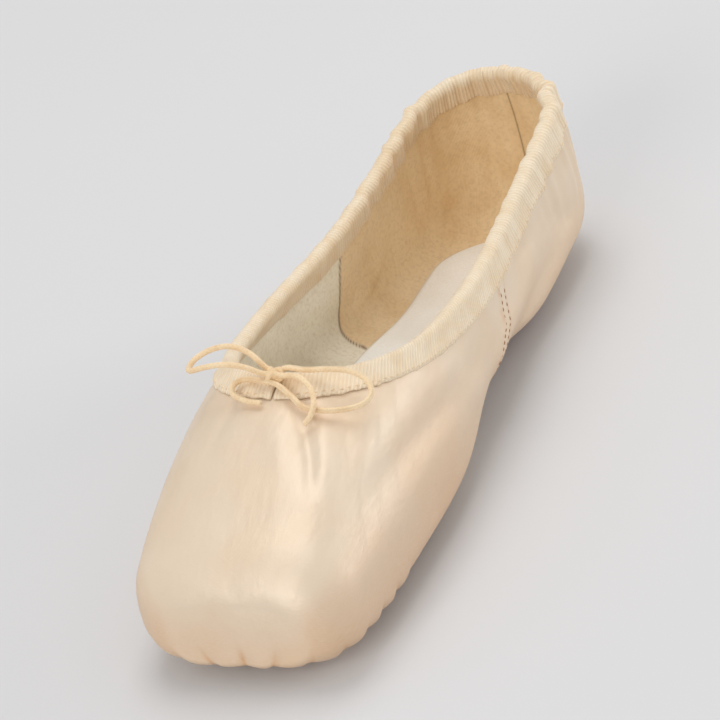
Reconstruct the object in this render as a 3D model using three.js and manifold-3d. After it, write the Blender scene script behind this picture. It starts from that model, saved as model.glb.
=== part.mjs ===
// A pointe shoe: a satin upper with a stiff toe box and a flat platform, a leather outsole,
// a sock-covered insole, a drawstring binding round the collar, a strip down the back and a cord bow.
// Millimetres, +Z up. The toe points to -X, the heel to +X, and the outsole stands on z = 0.
import * as THREE from "three";
import { mergeVertices } from "three/addons/utils/BufferGeometryUtils.js";
import Module from "manifold-3d";

// Driving dimensions of the last.
const length = 236;
const ballWidth = 72;
const instepHeight = 57;
const heelHeight = 53;
const archHeight = 7;
const toeSpring = 1;
const sideBow = 3.2;

// The toe's rounding from the flat platform into the box, and the heel's cup.
const toeDepth = 14;
const toeSideRound = 10;
const toeTopRound = 8;
const toeSoleRound = 3.5;
const heelDepth = 28;
const heelSquareness = 2.2;

// Walls, layers and the clearance that pieces keep between them.
const gap = 0.4;
const boxWall = 3;
const quarterWall = 1.6;
const outsoleThickness = 3;
const outsoleEdge = 1.8;
const outsoleSkive = 4;
const insoleThickness = 2;
const bindingWidth = 8.5;
const bindingThickness = 1.1;
const stripWidth = 14;
const stripThickness = 0.6;
const cordDiameter = 1.6;

// Where things lie: along the shoe from the toe, or in from the back of the heel, and in from the sides.
const throatAt = 64;
const outsoleFront = 15;
const outsoleSetback = 28;
const outsoleBack = length - outsoleSetback;
const outsoleMargin = 9;
const outsoleWidth = ballWidth - 2 * outsoleMargin;
const outsoleOverlap = 6;
const insoleFront = 21;
const insoleSetback = 22;
const insoleBack = length - insoleSetback;
const insoleMargin = 13.5;
const insoleWidth = ballWidth - 2 * insoleMargin;
const ballFlat = [42, 85];
const heelFlatLength = 28;
const heelFlatStart = outsoleBack - heelFlatLength;

// Pleats of the satin, drawn in under the toe.
const pleatsPerSide = 8;
const pleatReach = 0.3;
const pleatHeight = 1.1;
const pleatClear = 2.5;

// Sections of the last. along is a share of length, width of ballWidth, widest and top of instepHeight;
// roundTop and roundSole are the exponents of the section's upper and lower half, where 2 is an ellipse.
const sections = [
  { along: 0.0, width: 0.85, widest: 0.24, top: 0.61, roundTop: 2.7, roundSole: 3.0 },
  { along: 0.06, width: 0.915, widest: 0.25, top: 0.7, roundTop: 2.7, roundSole: 3.2 },
  { along: 0.14, width: 0.965, widest: 0.255, top: 0.83, roundTop: 2.55, roundSole: 3.6 },
  { along: 0.24, width: 0.995, widest: 0.255, top: 0.965, roundTop: 2.4, roundSole: 4.0 },
  { along: 0.33, width: 1.0, widest: 0.25, top: 1.04, roundTop: 2.3, roundSole: 4.0 },
  { along: 0.45, width: 0.945, widest: 0.25, top: 1.1, roundTop: 2.2, roundSole: 3.6 },
  { along: 0.58, width: 0.855, widest: 0.255, top: 1.17, roundTop: 2.1, roundSole: 3.2 },
  { along: 0.72, width: 0.775, widest: 0.26, top: 1.27, roundTop: 2.1, roundSole: 3.2 },
  { along: 0.84, width: 0.735, widest: 0.3, top: 1.36, roundTop: 2.1, roundSole: 3.2 },
  { along: 0.92, width: 0.715, widest: 0.35, top: 1.39, roundTop: 2.1, roundSole: 3.0 },
  { along: 1.0, width: 0.7, widest: 0.38, top: 1.4, roundTop: 2.1, roundSole: 3.0 },
];

// The collar's height seen from the side. along is a share of the way from throat to heel, height of instepHeight.
const collarLine = [
  { along: 0.045, height: 0.957 },
  { along: 0.15, height: 0.87 },
  { along: 0.34, height: 0.785 },
  { along: 0.52, height: 0.75 },
  { along: 0.7, height: 0.79 },
  { along: 0.87, height: 0.875 },
];

// The outsole's outline. along is a share of its own length, width of outsoleWidth.
const outsoleOutline = [
  { along: 0.0, width: 0.9 },
  { along: 0.14, width: 0.97 },
  { along: 0.3, width: 1.0 },
  { along: 0.45, width: 0.78 },
  { along: 0.6, width: 0.56 },
  { along: 0.74, width: 0.62 },
  { along: 0.88, width: 0.72 },
  { along: 1.0, width: 0.72 },
];
const outsoleNose = 0.16;
const outsoleTail = 0.12;

// The insole's outline, in the same form.
const insoleOutline = [
  { along: 0.0, width: 0.9 },
  { along: 0.2, width: 1.0 },
  { along: 0.42, width: 0.9 },
  { along: 0.62, width: 0.72 },
  { along: 0.85, width: 0.76 },
  { along: 1.0, width: 0.74 },
];
const insoleNose = 0.12;
const insoleTail = 0.1;

// Routes of the bow's cord, chosen by hand on the vamp: [side, towards the toe, lift off the satin],
// measured from the middle of the throat.
const bow = {
  bow_loop_left: [
    [2.8, 0.9, 4.7],
    [6.4, -0.8, 8.7],
    [10.5, -1.8, 10.9],
    [15, -2.3, 11.1],
    [18.4, -0.9, 11.4],
    [19.3, 2.2, 11.7],
    [18.1, 4.7, 12],
    [14.6, 5.1, 11.8],
    [10.1, 5.1, 11.3],
    [5.8, 4.9, 9.4],
    [2.5, 3.9, 5.6],
  ],
  bow_loop_right: [
    [-3.2, 0.9, 4.7],
    [-8.1, 1.2, 4.8],
    [-13.5, 0.3, 5.7],
    [-18, -0.5, 6.7],
    [-21.4, -0.1, 6.9],
    [-23.5, 2.5, 6.5],
    [-23.2, 6.3, 5.7],
    [-20.8, 8.7, 3.5],
    [-17.2, 10.8, 2.6],
    [-13.6, 11.6, 2.2],
    [-9.9, 11.3, 2.1],
    [-6.6, 9.2, 2.8],
    [-3, 6.6, 3.2],
  ],
  bow_end_left: [
    [3.2, 4.5, 3.3],
    [7.7, 2.8, 2.6],
    [10.3, 3.7, 3.2],
    [11.2, 6.2, 3.6],
    [10, 8.7, 3.2],
    [6.2, 10.1, 1.9],
    [2.1, 10.6, 1.6],
  ],
  bow_end_right: [
    [-3.1, 3.7, 4.6],
    [-7.4, 4.6, 5.7],
    [-10.6, 6.8, 5.6],
    [-12.6, 9.7, 5.2],
    [-13.4, 12.4, 4.7],
    [-13.1, 14.5, 3.1],
    [-11.8, 16.4, 1.4],
  ],
};
const knotForward = 2.6;
const knotRadius = 2.9;
const knotFlat = 0.8;
const knotLift = gap + bindingThickness + knotRadius * knotFlat;

// How finely the surfaces are cut: columns round the shoe and rows up the side.
const columnsPerPleat = 3;
const columnsBehind = 24;
const rows = [0, 0.045, 0.09, 0.135, 0.185, 0.24, 0.3, 0.37, 0.445, 0.52, 0.6, 0.68, 0.76, 0.84, 0.92, 1];
const outsoleStations = 38;
const insoleStations = 26;
const plateLanes = 8;
const stripSteps = 14;
const cordSides = 8;

const clamp = (v, low, high) => Math.min(high, Math.max(low, v));
const smooth = (v) => v * v * (3 - 2 * v);

// A natural cubic spline through a table's rows, from its column "along" to another column.
function spline(table, column, scale = 1) {
  const x = table.map((row) => row.along);
  const y = table.map((row) => row[column] * scale);
  const n = x.length;
  const bend = new Array(n).fill(0);
  const work = new Array(n).fill(0);
  for (let i = 1; i < n - 1; i++) {
    const share = (x[i] - x[i - 1]) / (x[i + 1] - x[i - 1]);
    const p = share * bend[i - 1] + 2;
    const turn = (y[i + 1] - y[i]) / (x[i + 1] - x[i]) - (y[i] - y[i - 1]) / (x[i] - x[i - 1]);
    bend[i] = (share - 1) / p;
    work[i] = ((6 * turn) / (x[i + 1] - x[i - 1]) - share * work[i - 1]) / p;
  }
  for (let i = n - 2; i >= 0; i--) bend[i] = bend[i] * bend[i + 1] + work[i];
  return (at) => {
    let i = 0;
    while (i < n - 2 && at > x[i + 1]) i++;
    const h = x[i + 1] - x[i];
    const a = (x[i + 1] - at) / h;
    const b = 1 - a;
    const cubic = ((a * a * a - a) * bend[i] + (b * b * b - b) * bend[i + 1]) * ((h * h) / 6);
    return a * y[i] + b * y[i + 1] + cubic;
  };
}

const halfWidthOf = spline(sections, "width", ballWidth / 2);
const widestOf = spline(sections, "widest", instepHeight);
const topOf = spline(sections, "top", instepHeight);
const roundTopOf = spline(sections, "roundTop");
const roundSoleOf = spline(sections, "roundSole");

// The last's middle line bows sideways: its toe and heel both turn a little towards -Y.
const middleOf = (x) => sideBow * 4 * (x / length) * (1 - x / length);

// The underside of the outsole: flat under the ball and heel, arched at the waist, sprung at the toe.
function soleLine(x) {
  const [ballStart, ballEnd] = ballFlat;
  const waist = clamp((x - ballEnd) / (heelFlatStart - ballEnd), 0, 1);
  const toe = clamp((ballStart - x) / ballStart, 0, 1);
  return archHeight * Math.sin(Math.PI * waist) ** 2 + toeSpring * toe * toe;
}

// The last's section at x: half width, heights of its lowest, widest and top lines, and its exponents.
function section(x) {
  const share = x / length;
  const back = clamp((toeDepth - x) / toeDepth, 0, 1);
  const cut = 1 - Math.sqrt(1 - back * back);
  const low = soleLine(x) + outsoleThickness + gap + toeSoleRound * cut;
  const mid = soleLine(x) + widestOf(share) + outsoleThickness;
  const high = topOf(share) - toeTopRound * cut;
  const cup = clamp((x - (length - heelDepth)) / heelDepth, 0, 1);
  const shrink = (1 - cup ** heelSquareness) ** (1 / heelSquareness);
  return {
    half: (halfWidthOf(share) - toeSideRound * cut) * shrink,
    low: mid - (mid - low) * shrink,
    mid,
    high: mid + (high - mid) * shrink,
    up: roundTopOf(share),
    down: roundSoleOf(share),
  };
}

// Distances over the last's skin, from the middle of the platform to the back of the heel, stand in for x,
// so that the platform and the heel's cup get their share of the surface.
const platformReach = 20;
const toeReach = platformReach + toeDepth * 1.3;
const bodyReach = toeReach + length - toeDepth - heelDepth;
const skinReach = bodyReach + heelDepth * 1.5;

function skinOf(x) {
  if (x < toeDepth) {
    return platformReach + (toeReach - platformReach) * (Math.acos(1 - x / toeDepth) / (Math.PI / 2));
  }
  if (x < length - heelDepth) return toeReach + x - toeDepth;
  const cup = clamp((x - (length - heelDepth)) / heelDepth, 0, 1);
  return bodyReach + (skinReach - bodyReach) * (Math.asin(cup) / (Math.PI / 2));
}

// A point of the last: skin is the distance above, turn the angle from the sole's middle over the side to the top.
function lastPoint(skin, turn) {
  const face = clamp(skin / platformReach, 0, 1);
  let x = toeDepth + skin - toeReach;
  if (skin < toeReach) {
    x = toeDepth * (1 - Math.cos((clamp((skin - platformReach) / (toeReach - platformReach), 0, 1) * Math.PI) / 2));
  }
  if (skin > bodyReach) {
    x = length - heelDepth + heelDepth * Math.sin((clamp((skin - bodyReach) / (skinReach - bodyReach), 0, 1) * Math.PI) / 2);
  }
  const at = section(x);
  const up = Math.cos(turn) < 0;
  const power = up ? at.up : at.down;
  const side = Math.sin(turn);
  const rise = Math.abs(Math.cos(turn));
  const reach = (Math.abs(side) ** power + rise ** power) ** (-1 / power);
  const tall = up ? at.high - at.mid : at.low - at.mid;
  const y = at.half * reach * side * face;
  return new THREE.Vector3(x, y, at.mid + tall * reach * rise * face);
}

// The turn at which a section reaches a given height above its widest line, or a given half width under it.
const turnAtHeight = (at, z) => {
  const rise = clamp((z - at.mid) / (at.high - at.mid), 0, 1);
  return Math.PI - Math.atan2((1 - rise ** at.up) ** (1 / at.up), rise);
};
const turnAtWidth = (at, y) => {
  const side = clamp(y / at.half, 0, 0.999);
  return Math.atan2(side, (1 - side ** at.down) ** (1 / at.down));
};

// A plate's half width at x, with an elliptical nose and tail.
function outlineOf(table, front, back, width, nose, tail) {
  const shape = spline(table, "width", width / 2);
  return (x) => {
    const share = clamp((x - front) / (back - front), 0, 1);
    const fore = clamp((nose - share) / nose, 0, 1);
    const aft = clamp((share - (1 - tail)) / tail, 0, 1);
    return shape(share) * Math.sqrt((1 - fore * fore) * (1 - aft * aft));
  };
}
const outsoleHalf = outlineOf(outsoleOutline, outsoleFront, outsoleBack, outsoleWidth, outsoleNose, outsoleTail);
const insoleHalf = outlineOf(insoleOutline, insoleFront, insoleBack, insoleWidth, insoleNose, insoleTail);

// The collar runs from the throat to the point of the heel's cup that is heelHeight tall.
const heelEnd = section(length - heelDepth);
const heelShrink = (heelHeight - heelEnd.mid) / (topOf(1) - heelEnd.mid);
const collarBack = length - heelDepth + heelDepth * (1 - heelShrink ** heelSquareness) ** (1 / heelSquareness);
const collarHeight = spline(
  [
    { along: 0, height: section(throatAt).high / instepHeight },
    ...collarLine,
    { along: 1, height: section(collarBack).high / instepHeight },
  ],
  "height",
  instepHeight,
);

// Round the shoe, s runs from 0 at the toe's middle to 1 at the heel's, negative on the right side.
const spread = (s) => 0.5 - 0.5 * Math.cos(Math.PI * s);

function collarEdge(s) {
  const share = spread(s);
  const x = throatAt + (collarBack - throatAt) * share;
  const turn = share < 1e-9 || share > 1 - 1e-9 ? Math.PI : turnAtHeight(section(x), collarHeight(share));
  return { skin: skinOf(x), turn };
}

// The sole opening's edge lies under the outsole, set in from its outline by the overlap.
const openFront = outsoleFront + outsoleOverlap;
const openBack = outsoleBack - outsoleOverlap;
const openHalf = outlineOf(
  outsoleOutline, openFront, openBack, outsoleWidth - 2 * outsoleOverlap, outsoleNose, outsoleTail,
);

function soleEdge(s) {
  const x = openFront + (openBack - openFront) * spread(s);
  return { skin: skinOf(x), turn: turnAtWidth(section(x), openHalf(x)) };
}

// The skin and turn as a direction, so that a straight path over the toe or heel is a great circle.
function direction({ skin, turn }) {
  const pole = (Math.PI * skin) / skinReach;
  return new THREE.Vector3(-Math.cos(pole), Math.sin(pole) * Math.sin(turn), -Math.sin(pole) * Math.cos(turn));
}

// A point of the last's skin at s round the shoe and t up from the sole opening's edge to the collar.
function skinPoint(s, t) {
  const round = Math.abs(s);
  const from = direction(soleEdge(round));
  const to = direction(collarEdge(round));
  const angle = from.angleTo(to);
  const way = from.multiplyScalar(Math.sin((1 - t) * angle)).addScaledVector(to, Math.sin(t * angle));
  way.divideScalar(Math.sin(angle));
  const skin = (Math.acos(clamp(-way.x, -1, 1)) / Math.PI) * skinReach;
  const point = lastPoint(skin, Math.atan2(way.y, -way.z));
  point.y = middleOf(point.x) + Math.sign(s || 1) * point.y;
  return point;
}

// The skin's frame at s and t: its point, outward normal, and the way up to the collar, with its speed.
const step = 1e-3;
function skinFrame(s, t) {
  const point = skinPoint(s, t);
  const lower = skinPoint(s, t - (t > 0.5 ? step : 0));
  const up = skinPoint(s, t + (t > 0.5 ? 0 : step)).sub(lower).divideScalar(step);
  const wrap = (v) => (v > 1 ? v - 2 : v < -1 ? v + 2 : v);
  const round = skinPoint(wrap(s + step), t).sub(skinPoint(wrap(s - step), t)).divideScalar(2 * step);
  const normal = new THREE.Vector3().crossVectors(up, round).normalize();
  return { point, normal, up: up.clone().normalize(), speed: up.length(), across: round.length() };
}

// The wall is thick in the stiff box and thin in the soft quarters behind it.
function wallAt(x) {
  const share = clamp((x - ballFlat[0]) / (ballFlat[1] - ballFlat[0]), 0, 1);
  return boxWall + (quarterWall - boxWall) * smooth(share);
}

// How far a pleat stands out: steep on one flank, and only between the outsole and the platform's lower edge.
function pleatAt(s, t, x) {
  const round = Math.abs(s) / pleatReach;
  if (round >= 1 || t > 0.3) return 0;
  const phase = (round * pleatsPerSide) % 1;
  const saw = phase < 2 / 3 ? phase * 1.5 : (1 - phase) * 3;
  const clear = clamp((outsoleEdgeDistance(s, t) - pleatClear) / pleatClear, 0, 1);
  const fade = clamp((0.3 - t) / 0.12, 0, 1) * clamp((1 - round) * 4, 0, 1);
  return pleatHeight * saw * smooth(clear) * smooth(fade) * (x < ballFlat[1] ? 1 : 0);
}

// How far outside the outsole's outline a point of the skin lies, seen from below.
function outsoleEdgeDistance(s, t) {
  const point = skinPoint(s, t);
  const ahead = outsoleFront - point.x;
  const half = outsoleHalf(Math.max(point.x, outsoleFront));
  return Math.max(ahead, (Math.abs(point.y - middleOf(point.x)) - half) * 0.8);
}

// A closed mesh from rings of points, each running anticlockwise as seen from the ring after it. The last
// ring joins the first, or else both ends are capped.
function meshOfRings(rings, closed) {
  const count = rings[0].length;
  const position = rings.flat().flatMap((p) => [p.x, p.y, p.z]);
  const index = [];
  const spans = closed ? rings.length : rings.length - 1;
  for (let i = 0; i < spans; i++) {
    const here = i * count;
    const there = ((i + 1) % rings.length) * count;
    for (let j = 0; j < count; j++) {
      const next = (j + 1) % count;
      index.push(here + j, here + next, there + j, here + next, there + next, there + j);
    }
  }
  if (!closed) {
    const cap = (ring, start) => {
      return THREE.ShapeUtils.triangulateShape(flattened(ring), []).map((face) => face.map((v) => start + v));
    };
    cap(rings[0], 0).forEach((face) => index.push(...face.reverse()));
    cap(rings[spans], spans * count).forEach((face) => index.push(...face));
  }
  const geometry = new THREE.BufferGeometry();
  geometry.setAttribute("position", new THREE.Float32BufferAttribute(position, 3));
  geometry.setIndex(index);
  return geometry;
}

// A nearly flat ring of points drawn in its own plane.
function flattened(ring) {
  const centre = new THREE.Vector3();
  ring.forEach((p) => centre.addScaledVector(p, 1 / ring.length));
  const normal = new THREE.Vector3();
  ring.forEach((p, i) => {
    const next = ring[(i + 1) % ring.length];
    normal.add(new THREE.Vector3().crossVectors(p.clone().sub(centre), next.clone().sub(centre)));
  });
  normal.normalize();
  const u = ring[0].clone().sub(centre).normalize();
  const v = new THREE.Vector3().crossVectors(normal, u);
  return ring.map((p) => new THREE.Vector2(p.clone().sub(centre).dot(u), p.clone().sub(centre).dot(v)));
}

// Columns round the shoe: fine over the pleats, and even behind them.
const columns = [];
for (let i = 0; i < pleatsPerSide * columnsPerPleat; i++) {
  columns.push((pleatReach * i) / (pleatsPerSide * columnsPerPleat));
}
for (let i = 0; i <= columnsBehind; i++) columns.push(pleatReach + ((1 - pleatReach) * i) / columnsBehind);
const around = [...columns, ...columns.slice(1, -1).reverse().map((s) => -s)];

// The upper: its outer skin goes up from the sole opening to the collar, and its inner skin comes down again.
function upperGeometry() {
  const rings = around.map((s) => {
    const outer = [];
    const inner = [];
    for (const t of rows) {
      const { point, normal } = skinFrame(s, t);
      inner.unshift(point.clone().addScaledVector(normal, -wallAt(point.x)));
      outer.push(point.clone().addScaledVector(normal, pleatAt(s, t, point.x)));
    }
    return [...outer, ...inner];
  });
  return meshOfRings(rings, true);
}

// The binding folds over the collar's edge. Its two ends meet, a little apart, at the middle of the throat.
function bindingGeometry() {
  const ends = [...columns.slice(1), ...columns.slice(1, -1).reverse().map((s) => -s)];
  const rings = ends.map((s) => {
    const { point, normal, up, speed } = skinFrame(s, 1);
    const rim = gap + bindingThickness;
    const outer = (down, out) => {
      const at = skinFrame(s, 1 - down / speed);
      return at.point.addScaledVector(at.normal, out);
    };
    const inner = (down, out) => {
      const at = skinFrame(s, 1 - down / speed);
      return at.point.addScaledVector(at.normal, -wallAt(at.point.x) - out);
    };
    const over = (rise, out) => point.clone().addScaledVector(up, rise).addScaledVector(normal, out);
    return [
      outer(bindingWidth, gap),
      outer(bindingWidth * 0.6, rim),
      outer(0, rim),
      over(rim, gap),
      over(rim, -wallAt(point.x) - gap),
      inner(0, rim),
      inner(bindingWidth * 0.6, rim),
      inner(bindingWidth, gap),
      inner(bindingWidth * 0.5, gap),
      over(gap, -wallAt(point.x) - gap),
      over(gap, gap),
      outer(bindingWidth * 0.5, gap),
    ];
  });
  return meshOfRings(rings, false);
}

// The height of the last's underside at x and y, where y is measured from the middle line.
function undersideAt(x, y) {
  const at = section(x);
  const side = clamp(Math.abs(y) / at.half, 0, 0.999);
  return at.mid - (at.mid - at.low) * (1 - side ** at.down) ** (1 / at.down);
}

// The same height moved by a distance square to the surface, up into the shoe or down out of it.
function undersideOffset(x, y, distance) {
  const z = undersideAt(x, y);
  const slopeX = (undersideAt(x + step, y) - undersideAt(x - step, y)) / (2 * step);
  const slopeY = (undersideAt(x, Math.abs(y) + step) - undersideAt(x, Math.abs(y) - step)) / (2 * step);
  return z + distance * Math.hypot(1, slopeX, slopeY);
}

// A plate under or in the shoe: its top and bottom are functions of x, y and how near y is to the edge.
function plateGeometry(front, back, half, stations, top, bottom) {
  const rings = [];
  for (let i = 1; i < stations; i++) {
    const x = front + (back - front) * spread(i / stations);
    const lanes = [];
    for (let j = 0; j <= plateLanes; j++) lanes.push(Math.cos((j / plateLanes) * Math.PI) * half(x));
    const at = (y, z) => new THREE.Vector3(x, middleOf(x) + y, z);
    rings.push([
      ...lanes.map((y) => at(y, top(x, y))),
      ...[...lanes].reverse().map((y) => at(y, bottom(x, y, half(x) - Math.abs(y)))),
    ]);
  }
  return meshOfRings(rings, false);
}

// The outsole: its top seats under the upper, and its underside is flat with skived edges.
function outsoleGeometry() {
  const top = (x, y) => undersideOffset(x, y, -gap);
  const bottom = (x, y, edge) => {
    const skive = 1 - smooth(clamp(edge / outsoleSkive, 0, 1));
    const room = top(x, y) - soleLine(x) - outsoleEdge;
    return soleLine(x) + Math.max(0, room) * skive;
  };
  return plateGeometry(outsoleFront, outsoleBack, outsoleHalf, outsoleStations, top, bottom);
}

// The insole with its sock: it lies on the upper's turned-under edge.
function insoleGeometry() {
  const bottom = (x, y) => undersideOffset(x, y, wallAt(x) + gap);
  const top = (x, y) => bottom(x, y) + insoleThickness;
  return plateGeometry(insoleFront, insoleBack, insoleHalf, insoleStations, top, bottom);
}

// The strip sewn down the back, from the outsole's end to the binding.
function stripGeometry() {
  const top = 1 - (bindingWidth + 2 * gap) / skinFrame(1, 1).speed;
  const placeOf = (y, t) => {
    let [near, far] = [0, 0.5];
    for (let i = 0; i < 24; i++) {
      const away = (near + far) / 2;
      const point = skinPoint(1 - away, t);
      if (point.y - middleOf(point.x) < Math.abs(y)) near = away;
      else far = away;
    }
    return y < 0 ? near - 1 : 1 - near;
  };
  const startOf = (y) => {
    let t = 0;
    while (skinPoint(placeOf(y, t), t).x < outsoleBack + 2 * gap) t += 2 * step;
    return t;
  };
  const lanes = [-1, -0.5, 0, 0.5, 1].map((lane) => {
    const y = (lane * stripWidth) / 2;
    return { y, start: startOf(y) };
  });
  const rings = [];
  for (let i = 0; i <= stripSteps; i++) {
    const at = ({ y, start }, out) => {
      const t = start + ((top - start) * i) / stripSteps;
      const { point, normal } = skinFrame(placeOf(y, t), t);
      return point.addScaledVector(normal, out);
    };
    const outer = lanes.map((lane) => at(lane, gap + stripThickness));
    rings.push([...outer, ...[...lanes].reverse().map((lane) => at(lane, gap))]);
  }
  return meshOfRings(rings, false);
}

// A point over the vamp: side and forward are measured from the middle of the throat, lift off the satin.
function overVamp([side, forward, lift]) {
  const x = throatAt - forward;
  const heightAt = (px, py) => {
    const at = section(px);
    const share = clamp(Math.abs(py) / at.half, 0, 0.98);
    return at.mid + (at.high - at.mid) * (1 - share ** at.up) ** (1 / at.up);
  };
  const z = heightAt(x, side);
  const slopeX = (heightAt(x + step, side) - z) / step;
  const slopeY = (heightAt(x, side + step) - z) / step;
  const normal = new THREE.Vector3(-slopeX, -slopeY, 1).normalize();
  return new THREE.Vector3(x, middleOf(x) + side, z).addScaledVector(normal, lift);
}

function cordGeometry(route) {
  const path = new THREE.CatmullRomCurve3(route.map(overVamp), false, "centripetal");
  const ring = new THREE.Shape();
  ring.absarc(0, 0, cordDiameter / 2, 0, 2 * Math.PI);
  const steps = Math.round(path.getLength() / (cordDiameter * 2));
  return new THREE.ExtrudeGeometry(ring, { steps, curveSegments: cordSides / 2, extrudePath: path });
}

// The knot: a turn of cord wrapped over the crossing.
const wasm = await Module();
wasm.setup();

function solidOf(geometry) {
  const bare = geometry.clone();
  bare.deleteAttribute("normal");
  bare.deleteAttribute("uv");
  const merged = mergeVertices(bare);
  return new wasm.Manifold(new wasm.Mesh({
    numProp: 3,
    vertProperties: merged.attributes.position.array,
    triVerts: new Uint32Array(merged.index.array),
  }));
}

function geometryOf(solid) {
  const mesh = solid.getMesh();
  const geometry = new THREE.BufferGeometry();
  geometry.setAttribute("position", new THREE.Float32BufferAttribute(mesh.vertProperties, 3));
  geometry.setIndex(new THREE.Uint32BufferAttribute(mesh.triVerts, 1));
  return geometry;
}

function knotGeometry() {
  const core = new THREE.SphereGeometry(knotRadius, 12, 8).scale(1, 1, knotFlat);
  const wrap = new THREE.TorusGeometry(knotRadius * 0.7, cordDiameter / 2, 6, 12);
  wrap.rotateY(Math.PI / 2).rotateZ(0.5).scale(1, 1, knotFlat);
  const centre = overVamp([0, knotForward, knotLift]);
  return geometryOf(solidOf(core).add(solidOf(wrap))).translate(centre.x, centre.y, centre.z);
}

const finishes = {
  satin: new THREE.MeshStandardMaterial({ color: 0xead0b0, roughness: 0.35 }),
  tape: new THREE.MeshStandardMaterial({ color: 0xf0dcbc, roughness: 0.75 }),
  cord: new THREE.MeshStandardMaterial({ color: 0xf0d6ae, roughness: 0.8 }),
  leather: new THREE.MeshStandardMaterial({ color: 0x8a5340, roughness: 0.65 }),
  sock: new THREE.MeshStandardMaterial({ color: 0xe6e2d8, roughness: 0.85 }),
};

function piece(name, geometry, finish) {
  const mesh = new THREE.Mesh(geometry, finishes[finish]);
  mesh.name = name;
  return mesh;
}

const shoe = new THREE.Group();
shoe.add(piece("upper", upperGeometry(), "satin"));
shoe.add(piece("outsole", outsoleGeometry(), "leather"));
shoe.add(piece("insole", insoleGeometry(), "sock"));
shoe.add(piece("binding", bindingGeometry(), "tape"));
shoe.add(piece("heel_strip", stripGeometry(), "satin"));
shoe.add(piece("bow_knot", knotGeometry(), "cord"));
for (const [name, route] of Object.entries(bow)) shoe.add(piece(name, cordGeometry(route), "cord"));

// The origin lies under the middle of the shoe, on the floor.
const middle = new THREE.Box3().setFromObject(shoe).getCenter(new THREE.Vector3());
shoe.position.set(-middle.x, -middle.y, 0);

export default shoe;
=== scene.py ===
"""A pointe shoe in peach satin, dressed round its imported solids; the last is worked out in mm, +Z up."""
import math

import bpy
import numpy as np
from mathutils import Matrix, Vector


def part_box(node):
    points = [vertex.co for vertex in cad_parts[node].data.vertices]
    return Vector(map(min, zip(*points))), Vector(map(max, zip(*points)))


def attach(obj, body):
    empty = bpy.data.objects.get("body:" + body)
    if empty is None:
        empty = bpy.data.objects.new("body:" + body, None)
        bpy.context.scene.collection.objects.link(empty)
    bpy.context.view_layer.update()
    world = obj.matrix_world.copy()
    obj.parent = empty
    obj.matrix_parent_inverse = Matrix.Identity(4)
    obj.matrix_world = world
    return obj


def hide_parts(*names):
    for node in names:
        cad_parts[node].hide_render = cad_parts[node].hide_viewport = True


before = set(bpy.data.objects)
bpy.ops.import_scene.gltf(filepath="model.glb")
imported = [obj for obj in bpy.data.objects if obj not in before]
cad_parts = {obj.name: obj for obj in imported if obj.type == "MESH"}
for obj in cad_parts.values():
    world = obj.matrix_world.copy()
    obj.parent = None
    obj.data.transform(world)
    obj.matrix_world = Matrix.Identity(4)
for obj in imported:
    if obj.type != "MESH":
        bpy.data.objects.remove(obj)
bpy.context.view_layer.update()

MM = 0.001

# Driving dimensions of the last, in mm, as in the part's own source.
LENGTH = 236.0
BALL_WIDTH = 72.0
INSTEP_HEIGHT = 57.0
HEEL_HEIGHT = 53.0
ARCH_HEIGHT = 7.0
TOE_SPRING = 1.0
SIDE_BOW = 3.2
TOE_DEPTH, TOE_SIDE_ROUND, TOE_TOP_ROUND, TOE_SOLE_ROUND = 14.0, 10.0, 8.0, 3.5
HEEL_DEPTH, HEEL_SQUARENESS = 28.0, 2.2
GAP = 0.4
BOX_WALL, QUARTER_WALL = 3.0, 1.6
OUTSOLE_THICKNESS, OUTSOLE_EDGE, OUTSOLE_SKIVE = 3.0, 1.8, 4.0
INSOLE_THICKNESS = 2.0
BINDING_WIDTH, BINDING_THICKNESS = 8.5, 1.1
STRIP_WIDTH, STRIP_THICKNESS = 14.0, 0.6
CORD_DIAMETER = 1.6
THROAT_AT = 64.0
OUTSOLE_SETBACK, OUTSOLE_MARGIN = 28.0, 9.0
OUTSOLE_FRONT, OUTSOLE_BACK = 15.0, LENGTH - OUTSOLE_SETBACK
OUTSOLE_WIDTH, OUTSOLE_OVERLAP = BALL_WIDTH - 2 * OUTSOLE_MARGIN, 6.0
INSOLE_SETBACK, INSOLE_MARGIN = 22.0, 13.5
INSOLE_FRONT, INSOLE_BACK = 21.0, LENGTH - INSOLE_SETBACK
INSOLE_WIDTH = BALL_WIDTH - 2 * INSOLE_MARGIN
BALL_FLAT = (42.0, 85.0)
HEEL_FLAT_LENGTH = 28.0
HEEL_FLAT_START = OUTSOLE_BACK - HEEL_FLAT_LENGTH

# Sections of the last: along, width, widest, top, roundness above and below.
SECTIONS = np.array([
    (0.0, 0.85, 0.24, 0.61, 2.7, 3.0),
    (0.06, 0.915, 0.25, 0.7, 2.7, 3.2),
    (0.14, 0.965, 0.255, 0.83, 2.55, 3.6),
    (0.24, 0.995, 0.255, 0.965, 2.4, 4.0),
    (0.33, 1.0, 0.25, 1.04, 2.3, 4.0),
    (0.45, 0.945, 0.25, 1.1, 2.2, 3.6),
    (0.58, 0.855, 0.255, 1.17, 2.1, 3.2),
    (0.72, 0.775, 0.26, 1.27, 2.1, 3.2),
    (0.84, 0.735, 0.3, 1.36, 2.1, 3.2),
    (0.92, 0.715, 0.35, 1.39, 2.1, 3.0),
    (1.0, 0.7, 0.38, 1.4, 2.1, 3.0),
])
# The collar from the side: share of the way back, share of the instep height.
COLLAR_LINE = [(0.045, 0.957), (0.15, 0.87), (0.34, 0.785), (0.52, 0.75), (0.7, 0.79), (0.87, 0.875)]
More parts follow.
